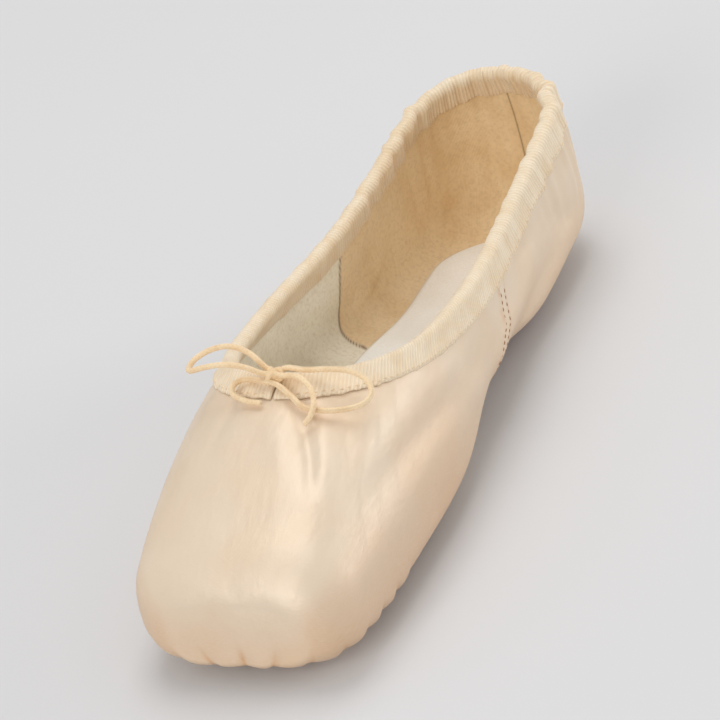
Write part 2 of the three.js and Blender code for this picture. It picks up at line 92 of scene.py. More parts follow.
# Outlines of the plates: share along, share of their width.
OUTSOLE_OUTLINE = [
    (0, 0.9), (0.14, 0.97), (0.3, 1), (0.45, 0.78), (0.6, 0.56), (0.74, 0.62), (0.88, 0.72), (1, 0.72),
]
OUTSOLE_ENDS = (0.16, 0.12)
INSOLE_OUTLINE = [(0, 0.9), (0.2, 1), (0.42, 0.9), (0.62, 0.72), (0.85, 0.76), (1, 0.74)]
INSOLE_ENDS = (0.12, 0.1)

# Pleats drawn in under the toe: how many, how far round, how high, and where the steep flank begins.
PLEATS_PER_SIDE = 8
PLEAT_REACH = 0.3
PLEAT_HEIGHT = 1.1
PLEAT_TOP = 2 / 3


# The last


def spline(points, scale=1.0):
    """A natural cubic spline through (along, value) points, over arrays."""
    x = np.array([p[0] for p in points], float)
    y = np.array([p[1] for p in points], float) * scale
    n = len(x)
    rows, right = np.eye(n), np.zeros(n)
    for i in range(1, n - 1):
        rows[i, i - 1 : i + 2] = x[i] - x[i - 1], 2 * (x[i + 1] - x[i - 1]), x[i + 1] - x[i]
        right[i] = 6 * ((y[i + 1] - y[i]) / (x[i + 1] - x[i]) - (y[i] - y[i - 1]) / (x[i] - x[i - 1]))
    bend = np.linalg.solve(rows, right)

    def value(at):
        i = np.clip(np.searchsorted(x, at) - 1, 0, n - 2)
        h = x[i + 1] - x[i]
        a = (x[i + 1] - at) / h
        b = 1 - a
        return a * y[i] + b * y[i + 1] + ((a**3 - a) * bend[i] + (b**3 - b) * bend[i + 1]) * h * h / 6

    return value


def column(index):
    """One column of the sections against the share along the last."""
    return [(row[0], row[index]) for row in SECTIONS]


half_width_of = spline(column(1), BALL_WIDTH / 2)
widest_of = spline(column(2), INSTEP_HEIGHT)
top_of = spline(column(3), INSTEP_HEIGHT)
round_top_of = spline(column(4))
round_sole_of = spline(column(5))


def smooth(v):
    """A soft step from 0 to 1."""
    v = np.clip(v, 0, 1)
    return v * v * (3 - 2 * v)


def bell(v):
    """1 at 0, falling away softly on both sides."""
    return np.exp(-(v**2))


def middle_of(x):
    """How far the bowed middle line lies to the side at x."""
    return SIDE_BOW * 4 * (x / LENGTH) * (1 - x / LENGTH)


def sole_line(x):
    """Height under the outsole: flat at ball and heel, arched between, sprung at the toe."""
    waist = np.clip((x - BALL_FLAT[1]) / (HEEL_FLAT_START - BALL_FLAT[1]), 0, 1)
    toe = np.clip((BALL_FLAT[0] - x) / BALL_FLAT[0], 0, 1)
    return ARCH_HEIGHT * np.sin(np.pi * waist) ** 2 + TOE_SPRING * toe * toe


def section(x):
    """The last's section: half width, low, widest and high lines, and the exponents of its two halves."""
    share = x / LENGTH
    back = np.clip((TOE_DEPTH - x) / TOE_DEPTH, 0, 1)
    cut = 1 - np.sqrt(1 - back * back)
    low = sole_line(x) + OUTSOLE_THICKNESS + GAP + TOE_SOLE_ROUND * cut
    mid = sole_line(x) + widest_of(share) + OUTSOLE_THICKNESS
    high = top_of(share) - TOE_TOP_ROUND * cut
    cup = np.clip((x - (LENGTH - HEEL_DEPTH)) / HEEL_DEPTH, 0, 1)
    shrink = (1 - cup**HEEL_SQUARENESS) ** (1 / HEEL_SQUARENESS)
    half = (half_width_of(share) - TOE_SIDE_ROUND * cut) * shrink
    below, above = mid - (mid - low) * shrink, mid + (high - mid) * shrink
    return half, below, mid, above, round_top_of(share), round_sole_of(share)


# How far along the skin the platform, the toe's round, the body and the heel's cup end.
PLATFORM_REACH = 20.0
TOE_REACH = PLATFORM_REACH + TOE_DEPTH * 1.3
BODY_REACH = TOE_REACH + LENGTH - TOE_DEPTH - HEEL_DEPTH
SKIN_REACH = BODY_REACH + HEEL_DEPTH * 1.5


def skin_of(x):
    """The way along the skin, measured over toe and heel, that reaches x."""
    toe = np.arccos(np.clip(1 - x / TOE_DEPTH, -1, 1))
    toe = PLATFORM_REACH + (TOE_REACH - PLATFORM_REACH) * toe / (np.pi / 2)
    cup = np.clip((x - (LENGTH - HEEL_DEPTH)) / HEEL_DEPTH, 0, 1)
    heel = BODY_REACH + (SKIN_REACH - BODY_REACH) * np.arcsin(cup) / (np.pi / 2)
    return np.where(x < TOE_DEPTH, toe, np.where(x < LENGTH - HEEL_DEPTH, TOE_REACH + x - TOE_DEPTH, heel))


def last_point(skin, turn):
    """A point of the straight last: way along its skin, turn from the sole to the top."""
    face = np.clip(skin / PLATFORM_REACH, 0, 1)
    toe = np.clip((skin - PLATFORM_REACH) / (TOE_REACH - PLATFORM_REACH), 0, 1)
    heel = np.clip((skin - BODY_REACH) / (SKIN_REACH - BODY_REACH), 0, 1)
    x = np.where(skin < TOE_REACH, TOE_DEPTH * (1 - np.cos(toe * np.pi / 2)), TOE_DEPTH + skin - TOE_REACH)
    x = np.where(skin > BODY_REACH, LENGTH - HEEL_DEPTH + HEEL_DEPTH * np.sin(heel * np.pi / 2), x)
    half, low, mid, high, up, down = section(x)
    above = np.cos(turn) < 0
    power = np.where(above, up, down)
    side, rise = np.sin(turn), np.abs(np.cos(turn))
    reach = (np.abs(side) ** power + rise**power) ** (-1 / power)
    tall = np.where(above, high - mid, low - mid)
    return np.stack([x, half * reach * side * face, mid + tall * reach * rise * face], -1)


def turn_at_width(x, y):
    """The turn at which the last's underside is y wide."""
    half, _, _, _, _, down = section(x)
    side = np.clip(y / half, 0, 0.999)
    return np.arctan2(side, (1 - side**down) ** (1 / down))


def outline_of(table, front, back, width, ends):
    """A plate's half width along the shoe, rounded at both ends."""
    shape = spline(table, width / 2)

    def half(x):
        share = np.clip((x - front) / (back - front), 0, 1)
        fore = np.clip((ends[0] - share) / ends[0], 0, 1)
        aft = np.clip((share - (1 - ends[1])) / ends[1], 0, 1)
        return shape(share) * np.sqrt((1 - fore * fore) * (1 - aft * aft))

    return half


outsole_half = outline_of(OUTSOLE_OUTLINE, OUTSOLE_FRONT, OUTSOLE_BACK, OUTSOLE_WIDTH, OUTSOLE_ENDS)
insole_half = outline_of(INSOLE_OUTLINE, INSOLE_FRONT, INSOLE_BACK, INSOLE_WIDTH, INSOLE_ENDS)
OPEN_FRONT, OPEN_BACK = OUTSOLE_FRONT + OUTSOLE_OVERLAP, OUTSOLE_BACK - OUTSOLE_OVERLAP
OPEN_WIDTH = OUTSOLE_WIDTH - 2 * OUTSOLE_OVERLAP
open_half = outline_of(OUTSOLE_OUTLINE, OPEN_FRONT, OPEN_BACK, OPEN_WIDTH, OUTSOLE_ENDS)

heel_end = section(np.array(LENGTH - HEEL_DEPTH))
heel_shrink = (HEEL_HEIGHT - heel_end[2]) / (top_of(1.0) - heel_end[2])
heel_reach = (1 - heel_shrink**HEEL_SQUARENESS) ** (1 / HEEL_SQUARENESS)
COLLAR_BACK = float(LENGTH - HEEL_DEPTH + HEEL_DEPTH * heel_reach)
collar_height = spline(
    [(0, float(section(np.array(THROAT_AT))[3]) / INSTEP_HEIGHT)]
    + COLLAR_LINE
    + [(1, float(section(np.array(COLLAR_BACK))[3]) / INSTEP_HEIGHT)],
    INSTEP_HEIGHT,
)


def spread(s):
    """Shares of the way back for shares round the shoe, closer together at both ends."""
    return 0.5 - 0.5 * np.cos(np.pi * s)


def direction(skin, turn):
    """A place of the skin as a direction from the last's middle."""
    pole = np.pi * skin / SKIN_REACH
    return np.stack([-np.cos(pole), np.sin(pole) * np.sin(turn), -np.sin(pole) * np.cos(turn)], -1)


def to_side(point, side):
    """The point moved to its own side of the bowed middle line."""
    point[..., 1] = middle_of(point[..., 0]) + np.where(side < 0, -1, 1) * point[..., 1]
    return point


def skin_point(s, t):
    """A point of the skin: s round the shoe from the toe (0) to the heel (1 or -1), t up to the collar."""
    s, t = np.broadcast_arrays(np.asarray(s, float), np.asarray(t, float))
    s = (s + 1) % 2 - 1
    share = spread(np.abs(s))
    x = OPEN_FRONT + (OPEN_BACK - OPEN_FRONT) * share
    start = direction(skin_of(x), turn_at_width(x, open_half(x)))
    x = THROAT_AT + (COLLAR_BACK - THROAT_AT) * share
    _, _, mid, high, up, _ = section(x)
    rise = np.clip((collar_height(share) - mid) / (high - mid), 0, 1)
    rise = np.where((share < 1e-9) | (share > 1 - 1e-9), 1, rise)
    end = direction(skin_of(x), np.pi - np.arctan2((1 - rise**up) ** (1 / up), rise))
    angle = np.arccos(np.clip((start * end).sum(-1), -1, 1))
    from_start, from_end = np.sin((1 - t) * angle)[..., None], np.sin(t * angle)[..., None]
    way = (from_start * start + from_end * end) / np.sin(angle)[..., None]
    skin = np.arccos(np.clip(-way[..., 0], -1, 1)) / np.pi * SKIN_REACH
    return to_side(last_point(skin, np.arctan2(way[..., 1], -way[..., 2])), s)


# The small step that slopes are taken over.
STEP = 1e-3


def unit(v):
    return v / np.maximum(np.linalg.norm(v, axis=-1, keepdims=True), 1e-12)


def skin_frame(s, t):
    """Point, outward normal, and the steps per unit of t and s."""
    s, t = np.broadcast_arrays(np.asarray(s, float), np.asarray(t, float))
    low, high = np.where(t > 0.5, t - STEP, t), np.where(t > 0.5, t, t + STEP)
    up = (skin_point(s, high) - skin_point(s, low)) / STEP
    across = (skin_point(s + STEP, t) - skin_point(s - STEP, t)) / (2 * STEP)
    return skin_point(s, t), unit(np.cross(up, across)), up, across


def wall_at(x):
    """The upper's wall: thick in the box, thin in the quarters."""
    return BOX_WALL + (QUARTER_WALL - BOX_WALL) * smooth((x - BALL_FLAT[0]) / (BALL_FLAT[1] - BALL_FLAT[0]))


# The last's own millimetres to the row's metres: two nodes whose middles are known give the shift.
insole_low, insole_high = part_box("insole")
knot_low, knot_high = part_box("bow_knot")
KNOT_FORWARD = 2.6
ORIGIN = np.array([
    (INSOLE_FRONT + INSOLE_BACK) / 2 - (insole_low[0] + insole_high[0]) / 2 / MM,
    middle_of(THROAT_AT - KNOT_FORWARD) - (knot_low[1] + knot_high[1]) / 2 / MM,
    0.0,
])


def to_row(points):
    """Metres in the shared frame."""
    return (np.asarray(points) - ORIGIN) * MM


# Meshes from grids


def make_object(name, points, faces, material, attributes=None, slots=None):
    mesh = bpy.data.meshes.new(name)
    mesh.from_pydata(to_row(points).tolist(), [], faces)
    for extra in material if isinstance(material, list) else [material]:
        mesh.materials.append(extra)
    if slots is not None:
        mesh.polygons.foreach_set("material_index", np.asarray(slots, np.int32))
    mesh.polygons.foreach_set("use_smooth", np.ones(len(mesh.polygons), bool))
    for key, values in (attributes or {}).items():
        values = np.asarray(values, np.float32)
        kind = "FLOAT" if values.ndim == 1 else "FLOAT_VECTOR"
        layer = mesh.attributes.new(key, kind, "POINT")
        layer.data.foreach_set("value" if kind == "FLOAT" else "vector", values.ravel())
    mesh.update()
    item = bpy.data.objects.new(name, mesh)
    bpy.context.scene.collection.objects.link(item)
    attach(item, "root")
    return item


def ring_faces(rings, count, closed):
    """Faces between rings that each run anticlockwise as seen from the next; open ends are capped."""
    spans = rings if closed else rings - 1
    i, j = np.meshgrid(np.arange(spans), np.arange(count), indexing="ij")
    here, there, following = i * count, ((i + 1) % rings) * count, (j + 1) % count
    faces = np.stack([here + j, here + following, there + following, there + j], -1).reshape(-1, 4).tolist()
    if not closed:
        faces.append(list(range(count))[::-1])
        faces.append([spans * count + k for k in range(count)])
    return faces


def tube(path, radius, sides=12):
    """Rings round a path, with a frame carried along it, radius a number or one for each point."""
    path = np.asarray(path, float)
    radius = np.broadcast_to(radius, len(path))
    along = unit(np.gradient(path, axis=0))
    start = np.array([0.0, 0.0, 1.0]) if abs(along[0][2]) < 0.9 else np.array([0.0, 1.0, 0.0])
    normal = unit(start - along[0] * (start @ along[0]))
    rings = []
    for point, way, size in zip(path, along, radius):
        normal = unit(normal - way * (normal @ way))
        other = np.cross(way, normal)
        angles = np.arange(sides) * 2 * np.pi / sides
        rings.append(point + size * (np.cos(angles)[:, None] * normal + np.sin(angles)[:, None] * other))
    return np.array(rings)


def joined(parts):
    """Several (points, faces) as one."""
    points, faces, base = [], [], 0
    for some, some_faces in parts:
        some = np.asarray(some).reshape(-1, 3)
        points.append(some)
        faces += [[base + k for k in face] for face in some_faces]
        base += len(some)
    return np.vstack(points), faces


# Folds and puckers, in the last's own places


def on_last(x, degrees):
    """The point of the last at x and at an angle from the sole's middle to the top, negative on -Y."""
    degrees = np.asarray(degrees, float)
    skin, turn = skin_of(np.asarray(x, float)), np.radians(np.abs(degrees))
    return to_side(last_point(skin, turn), degrees)


def fold_path(stops, count=14):
    """A fold's line: its stops joined over the last."""
    stops = np.array(stops, float)
    k = np.linspace(0, 1, len(stops))
    at = np.linspace(0, 1, count)
    return on_last(np.interp(at, k, stops[:, 0]), np.interp(at, k, stops[:, 1]))


# Each fold: (x, degrees) stops, half width, height in mm; a trough has a negative height.
VAMP_FOLDS = [
    ([(50, -178), (42, -171), (32, -165)], 3.6, 0.5),
    ([(54, -170), (46, -160), (37, -154), (28, -150)], 2.0, -0.9),
    ([(50, -154), (43, -150), (33, -146)], 2.4, 0.4),
    ([(55, -147), (48, -143), (40, -138), (32, -136)], 1.7, -0.6),
    ([(60, -139), (50, -135), (40, -131)], 3.0, 0.35),
    ([(100, -126), (70, -129), (50, -134), (34, -144), (18, -158)], 7.0, 0.7),
    ([(116, -98), (90, -109), (70, -115), (45, -121), (23, -127), (6, -130)], 4.6, -0.9),
    ([(104, -97), (70, -101), (20, -103)], 6.0, 0.6),
    ([(66, 151), (58, 145), (46, 140)], 4.0, 0.6),
    ([(58, 164), (50, 159), (38, 155)], 2.0, -0.5),
    ([(70, 130), (42, 126), (14, 123)], 6.0, 0.6),
    ([(22, 208), (19, 180), (22, 152)], 4.5, -0.35),
    ([(2, -176), (-6, -160), (-12, -138)], 2.6, -0.35),
]
QUARTER_FOLDS = [
    ([(128, -68), (150, -86), (176, -101)], 5.0, 1.2),
    ([(140, -58), (163, -74), (190, -88)], 4.4, -1.1),
    ([(158, -56), (180, -70), (206, -78)], 4.6, 0.8),
    ([(186, -104), (202, -92), (216, -84)], 4.2, -0.8),
    ([(150, -112), (166, -106), (182, -104)], 4.0, -0.6),
    ([(100, -110), (112, -88), (124, -66)], 6.0, 0.8),
    ([(102, -84), (114, -70), (128, -58)], 4.6, -0.7),
    ([(130, 66), (152, 82), (172, 104)], 4.6, 1.1),
    ([(144, 56), (166, 72), (184, 94)], 4.0, -1.1),
    ([(160, 52), (184, 68), (208, 82)], 4.8, 0.8),
    ([(178, 108), (196, 98), (214, 92)], 3.8, -0.8),
    ([(196, 124), (203, 112), (207, 98)], 3.4, -0.9),
    ([(100, 108), (112, 86), (124, 64)], 6.0, 0.8),
    ([(104, 82), (118, 68), (132, 56)], 4.4, -0.7),
]
LINING_FOLDS = [
    ([(118, 118), (134, 110), (152, 104)], 2.4, -1.3),
    ([(124, 100), (138, 98), (154, 94)], 2.6, 0.8),
    ([(178, 84), (188, 96), (200, 110)], 7.0, -1.2),
    ([(150, 92), (166, 86), (186, 84)], 4.0, -0.6),
    ([(176, 118), (190, 108), (204, 100)], 3.6, -0.7),
    ([(150, -92), (170, -98), (190, -104)], 4.0, -0.6),
    ([(206, -112), (212, -96), (214, -78)], 3.6, -0.5),
]


def fold_relief(points, folds):
    """The height of all these folds at each point, each fading towards its ends."""
    total = np.zeros(points.shape[:-1])
    for stops, width, height in folds:
        path = fold_path(stops)
        best = np.full(total.shape, 1e9)
        where = np.zeros(total.shape)
        for k in range(len(path) - 1):
            a, d = path[k], path[k + 1] - path[k]
            along = np.clip(((points - a) @ d) / (d @ d), 0, 1)
            away = np.linalg.norm(points - a - along[..., None] * d, axis=-1)
            closer = away < best
            best = np.where(closer, away, best)
            where = np.where(closer, (k + along) / (len(path) - 1), where)
        ends = np.sin(np.pi * (0.04 + 0.92 * where)) ** 0.6
        total += height * ends * bell(best / width)
    return total


def waves(s, scale, seed, octaves=3):
    """A smooth wandering value round the shoe, the same each run; scale is the count of waves round."""
    rng = np.random.default_rng(seed)
    total = np.zeros_like(np.asarray(s, float))
    for k in range(octaves):
        phase = rng.uniform(0, 2 * np.pi, 4)
        rate = np.round(scale * (1 + 0.55 * k) * rng.uniform(0.85, 1.15, 4))
        for p, r in zip(phase, rate):
            total = total + np.sin(np.pi * r * s + p) / (2 * (k + 1))
    return total / 2


def gather(s):
    """How hard the drawstring has gathered the collar: little at the throat, most behind the side seams."""
    return 0.25 + 0.75 * smooth((np.abs(s) - 0.35) / 0.35)


# Where the drawstring bunches the collar most: s, width in s, mm out.
PINCHES = [
    (0.81, 0.012, -0.6), (0.79, 0.010, 1.4), (0.765, 0.012, -0.8), (0.735, 0.01, 0.6), (0.62, 0.01, 0.5),
    (-0.80, 0.01, 0.7), (-0.82, 0.009, -0.6), (-0.84, 0.010, -0.9), (-0.86, 0.010, 1.4), (-0.885, 0.01, -0.7),
    (-0.91, 0.01, 0.7), (-0.93, 0.009, -0.5),
]


def collar_ruffle(s):
    """How far the collar's edge waves outwards, in mm."""
    total = 0.6 * gather(s) * waves(s, 34, 5)
    for at, width, height in PINCHES:
        total = total + height * bell((s - at) / width)
    return total


# The share of t from which the cloth follows the collar's waves, and how closely.
RUFFLE_FROM, RUFFLE_SHARE = 0.62, 0.8


def ruffle_at(s, t):
    """How far the collar's waves move the cloth outwards at t, in mm."""
    return RUFFLE_SHARE * collar_ruffle(s) * smooth((t - RUFFLE_FROM) / (1 - RUFFLE_FROM))


def pleats(s, t, points):
    """The satin's pleats under the toe, each with a steep flank, fading at the platform's edge."""
    ahead = OUTSOLE_FRONT - points[..., 0]
    half = outsole_half(np.maximum(points[..., 0], OUTSOLE_FRONT))
    away = np.maximum(ahead, (np.abs(points[..., 1] - middle_of(points[..., 0])) - half) * 0.8)
    around = np.abs(s) / PLEAT_REACH + 0.012 * waves(s, 9, 11)
    phase = (around * PLEATS_PER_SIDE) % 1
    rise = np.sin(np.minimum(phase, PLEAT_TOP) * 0.75 * np.pi) ** 0.8
    fall = np.cos(np.maximum(phase - PLEAT_TOP, 0) * 1.5 * np.pi)
    saw = np.where(phase < PLEAT_TOP, rise, np.maximum(fall, 0) ** 1.5)
    clear = smooth((away - 0.8) / 2.2)
    fade = smooth((0.3 - t) / 0.14) * smooth((1 - np.abs(s) / PLEAT_REACH) * 4)
    held = np.where(np.abs(s) < PLEAT_REACH, clear * fade, 0)
    # The crease mask marks each pleat's fold, where the satin gets painted shade.
    crease = held * bell(np.minimum(phase, 1 - phase) / 0.07)
    soft = 0.6 + 0.4 * smooth(np.abs(s) / 0.12)
    return PLEAT_HEIGHT * soft * held * saw * (1 + 0.2 * waves(s, 13, 23)), crease


# The stiff box shows through the satin as a soft ridge round the platform.
PLATFORM_RIDGE, PLATFORM_RIDGE_AT = 0.3, 8.0

# Where the softer quarters' own waves begin, along the shoe in mm.
QUARTER_FROM = 95

# The side seams lean: they reach the collar further back than the outsole. Then a seam's half width and
# height, and how far in its stitches run and how far up.
SEAM_AT_SOLE, SEAM_AT_COLLAR = 124.0, 153.0
SEAM_HALF, SEAM_HEIGHT = 2.0, 0.35
STITCH_INSET = 0.6
SEAM_STITCHES_TO = 1 - 8.0 / 60.0

# The share of a way along the shoe that is across a leaning seam.
SEAM_SLANT = 0.86

# The lining's own seam between the front and the quarters lies behind the satin's.
LINING_SEAM = (146.0, 163.0)


def seam_line(t, sole=SEAM_AT_SOLE, collar=SEAM_AT_COLLAR):
    """Where a side seam lies along the shoe at t, in mm."""
    return sole + (collar - sole) * (0.35 * t + 0.65 * t * t)


def seam_place(t, side, offset=0.0):
    """s of the side seam at t, moved along the shoe by offset in mm."""
    t = np.asarray(t, float)
    target = seam_line(t) + offset
    low, high = np.full(t.shape, 0.2), np.full(t.shape, 0.9)
    for _ in range(30):
        middle = (low + high) / 2
        short = skin_point(middle, t)[..., 0] < target
        low, high = np.where(short, middle, low), np.where(short, high, middle)
    return side * (low + high) / 2


def seam_distance(t, points, *ends):
    """Distance in mm across the nearer side seam, ahead of it negative."""
    return (points[..., 0] - seam_line(t, *ends)) * SEAM_SLANT


def outer_relief(s, t, points):
    """How far the satin stands off the last's skin."""
    pleat, _ = pleats(s, t, points)
    total = pleat + fold_relief(points, VAMP_FOLDS + QUARTER_FOLDS)
    near = np.abs(seam_distance(t, points))
    total += SEAM_HEIGHT * (1 - smooth((near - SEAM_HALF) / 0.35))
    total -= 0.2 * bell((near - SEAM_HALF + STITCH_INSET) / 0.3)
    quarter = smooth((points[..., 0] - QUARTER_FROM) / 30)
    total += 0.35 * quarter * smooth(1 - t / 0.28) * waves(s, 46, 31) * smooth(t / 0.04)
    total += ruffle_at(s, t)
    total += PLATFORM_RIDGE * bell((points[..., 0] - PLATFORM_RIDGE_AT) / 5.0) * smooth((t - 0.12) / 0.2)
    total += 0.16 * waves(s, 11, 47) * np.sin(np.pi * np.clip(t, 0, 1)) * quarter
    under = 1 - smooth((outline_clear(points) - 0.2) / 1.5)
    return np.where(under > 0, np.minimum(total, total * (1 - under)), total)


def outline_clear(points):
    """How far outside the outsole's outline a point near the sole lies; large higher up."""
    x = points[..., 0]
    half = outsole_half(np.clip(x, OUTSOLE_FRONT, OUTSOLE_BACK))
    away = np.abs(points[..., 1] - middle_of(x)) - half
    away = np.maximum(away, np.maximum(OUTSOLE_FRONT - x, x - OUTSOLE_BACK))
    _, low, mid, _, _, _ = section(np.clip(x, 0.5, LENGTH - 0.5))
    return np.where(points[..., 2] > (low + mid) / 2, 50, away)


def outer_point(s, t):
    """A point of the satin, and the skin's normal there."""
    point, normal, _, _ = skin_frame(s, t)
    return point + normal * outer_relief(s, t, point)[..., None], normal


# Materials


def srgb(r, g, b):
    def linear(v):
        v /= 255
        return v / 12.92 if v <= 0.04045 else ((v + 0.055) / 1.055) ** 2.4

    return (linear(r), linear(g), linear(b), 1.0)


class Shader:
    """A material's nodes, with short helpers. Colours are 0 to 255."""

    def __init__(self, name, **settings):
        self.material = bpy.data.materials.new(name)
        self.material.use_nodes = True
        self.nodes = self.material.node_tree.nodes
        self.links = self.material.node_tree.links
        self.principled = self.nodes["Principled BSDF"]
        for key, value in settings.items():
            self.put(self.principled.inputs[key.replace("_", " ")], value)

    def put(self, socket, value):
        if isinstance(value, bpy.types.NodeSocket):
            self.links.new(value, socket)
        else:
            socket.default_value = value

    def add(self, kind, output, inputs, **properties):
        """A new node's output, by name or number, with the node's inputs and properties set."""
        node = self.nodes.new("ShaderNode" + kind)
        for key, value in properties.items():
            setattr(node, key, value)
        for key, value in inputs.items():
            self.put(node.inputs[key], value)
        return node.outputs[output]

    def place(self, scale):
        """Object coordinates in mm times scale."""
        scale = scale if isinstance(scale, tuple) else (scale, scale, scale)
        where = self.add("TexCoord", "Object", {})
        return self.add("Mapping", "Vector", {"Vector": where, "Scale": [1000 * k for k in scale]})

    def attribute(self, name, output="Fac"):
        return self.add("Attribute", output, {}, attribute_name=name)

    def cloth(self):
        """Millimetres along and across the cloth."""
        return self.attribute("cloth", "Vector")

    def scaled(self, vector, scale):
        return self.add("VectorMath", 0, {0: vector, 1: scale}, operation="MULTIPLY")

    def noise(self, vector, detail=3.0, rough=0.5, distortion=0.0):
        settings = {"Scale": 1.0, "Detail": detail, "Roughness": rough, "Distortion": distortion}
        return self.add("TexNoise", "Fac", {"Vector": vector, **settings})

    def wave(self, vector, scale, axis, distortion):
        settings = {"Scale": scale, "Distortion": distortion, "Detail": 1.0}
        return self.add("TexWave", "Fac", {"Vector": vector, **settings}, bands_direction=axis)

    def math(self, operation, a, b=0.0):
        return self.add("Math", 0, {0: a, 1: b}, operation=operation)

    def remap(self, value, low, high, to_low=0.0, to_high=1.0):
        settings = {"From Min": low, "From Max": high, "To Min": to_low, "To Max": to_high}
        return self.add("MapRange", "Result", {"Value": value, **settings}, interpolation_type="SMOOTHSTEP")

    def mix(self, factor, a, b):
        a, b = (srgb(*color) if isinstance(color, tuple) else color for color in (a, b))
        return self.add("Mix", 2, {"Factor": factor, 6: a, 7: b}, data_type="RGBA")

    def bump(self, height, distance, strength, below=None):
        inputs = {"Strength": strength, "Distance": distance * MM, "Height": height}
        if below is not None:
            inputs["Normal"] = below
        return self.add("Bump", "Normal", inputs)

    def finish(self, color, normal, roughness):
        for key, value in (("Base Color", color), ("Normal", normal), ("Roughness", roughness)):
            if value is not None:
                self.put(self.principled.inputs[key], value)
        return self.material


def satin_material():
    """Peach satin: glossy along fine floats, painted warmer and darker as shade in its pleats, at its sides
    and towards the sole.
    """
    shader = Shader(
        "satin",
        Metallic=0.12,
        Specular_IOR_Level=1.0,
        Specular_Tint=srgb(255, 244, 228),
        Anisotropic=0.5,
        Coat_Weight=0.18,
        Coat_Roughness=0.3,
    )
    tangent = shader.add("CombineXYZ", "Vector", {"X": 1.0})
    shader.put(shader.principled.inputs["Tangent"], tangent)
    cloth = shader.cloth()
    floats = shader.noise(shader.scaled(cloth, (0.5, 4.6, 1.0)), 2.0, 0.6)
    weft = shader.wave(shader.scaled(cloth, (1.0, 1.0, 1.0)), 0.9, "Y", 0.8)
    slub = shader.noise(shader.scaled(cloth, (1.3, 0.16, 1.0)), 3.0, 0.55)
    drift = shader.noise(shader.place((0.035, 0.05, 0.05)), 3.0, 0.5, 0.3)
    ripple = shader.noise(shader.place((0.09, 0.19, 0.19)), 2.0, 0.45, 0.4)
    pull = shader.noise(shader.place((0.05, 0.34, 0.34)), 2.0, 0.5, 0.5)
    painted_shade = shader.attribute("painted_shade")
    color = shader.mix(shader.remap(drift, 0.35, 0.68), (231, 213, 190), (229, 207, 180))
    # Painted shade: a warm darker colour mixed in low down, at the box's sides, in the pleats' creases and
    # along the seam tape's edge.
    color = shader.mix(painted_shade, color, (212, 164, 116))
    color = shader.mix(shader.remap(floats, 0.3, 0.75, 0.0, 0.3), color, (236, 218, 196))
    normal = shader.bump(ripple, 0.7, 0.3)
    normal = shader.bump(pull, 0.3, 0.3, normal)
    normal = shader.bump(slub, 0.06, 0.4, normal)
    normal = shader.bump(weft, 0.04, 0.4, normal)
    normal = shader.bump(floats, 0.07, 0.45, normal)
    roughness = shader.remap(floats, 0.25, 0.8, 0.4, 0.5)
    return shader.finish(color, normal, roughness)


def lining_material():
    """Cotton lining: grey-cream inside the box, tan in the quarters, with a dark seam between."""
    shader = Shader("lining_cotton", Sheen_Weight=0.15, Specular_IOR_Level=0.3)
    cloth = shader.cloth()
    warp = shader.wave(cloth, 0.62, "X", 0.8)
    weft = shader.wave(cloth, 0.62, "Y", 0.8)
    weave = shader.math("ADD", warp, weft)
    blot = shader.noise(shader.place(0.06), 4.0, 0.6, 0.3)
    fine = shader.noise(shader.place(0.9), 3.0, 0.6)
    front = shader.mix(shader.remap(blot, 0.35, 0.7), (250, 243, 224), (236, 226, 202))
    rear = shader.mix(shader.remap(blot, 0.35, 0.7), (246, 222, 182), (234, 204, 158))
    color = shader.mix(shader.attribute("quarter"), front, rear)
    color = shader.mix(shader.remap(fine, 0.4, 0.75, 0.0, 0.25), color, (190, 160, 120))
    color = shader.mix(shader.attribute("seam"), color, (132, 98, 62))
    normal = shader.bump(weave, 0.06, 0.5)
    normal = shader.bump(shader.noise(shader.place(0.22), 2.0), 0.6, 0.3, normal)
    return shader.finish(color, normal, shader.remap(fine, 0.3, 0.7, 0.72, 0.86))


def tape_material():
    """The binding's ribbed tape, ribs across its width, with painted shade between its ribs, on its inner
    fold and where it is gathered.
    """
    shader = Shader("ribbed_tape", Sheen_Weight=0.3, Specular_IOR_Level=0.32)
    cloth = shader.cloth()
    ribs = shader.wave(cloth, 0.27, "X", 0.35)
    cross = shader.wave(cloth, 0.7, "Y", 0.5)
    blot = shader.noise(shader.place(0.12), 4.0, 0.55)
    color = shader.mix(shader.remap(blot, 0.35, 0.7), (248, 232, 206), (241, 219, 186))
    # Painted shade in the valleys between the ribs.
    color = shader.mix(shader.remap(ribs, 0.0, 0.55, 0.3, 0.0), color, (222, 192, 150))
    # Painted shade on the inner fold and where the gathered tape draws in.
    color = shader.mix(shader.math("MULTIPLY", shader.attribute("painted_shade"), 0.8), color, (226, 190, 140))
    normal = shader.bump(ribs, 0.3, 0.7)
    normal = shader.bump(cross, 0.06, 0.4, normal)
    normal = shader.bump(shader.noise(shader.place(1.6), 3.0), 0.12, 0.5, normal)
    return shader.finish(color, normal, 0.74)


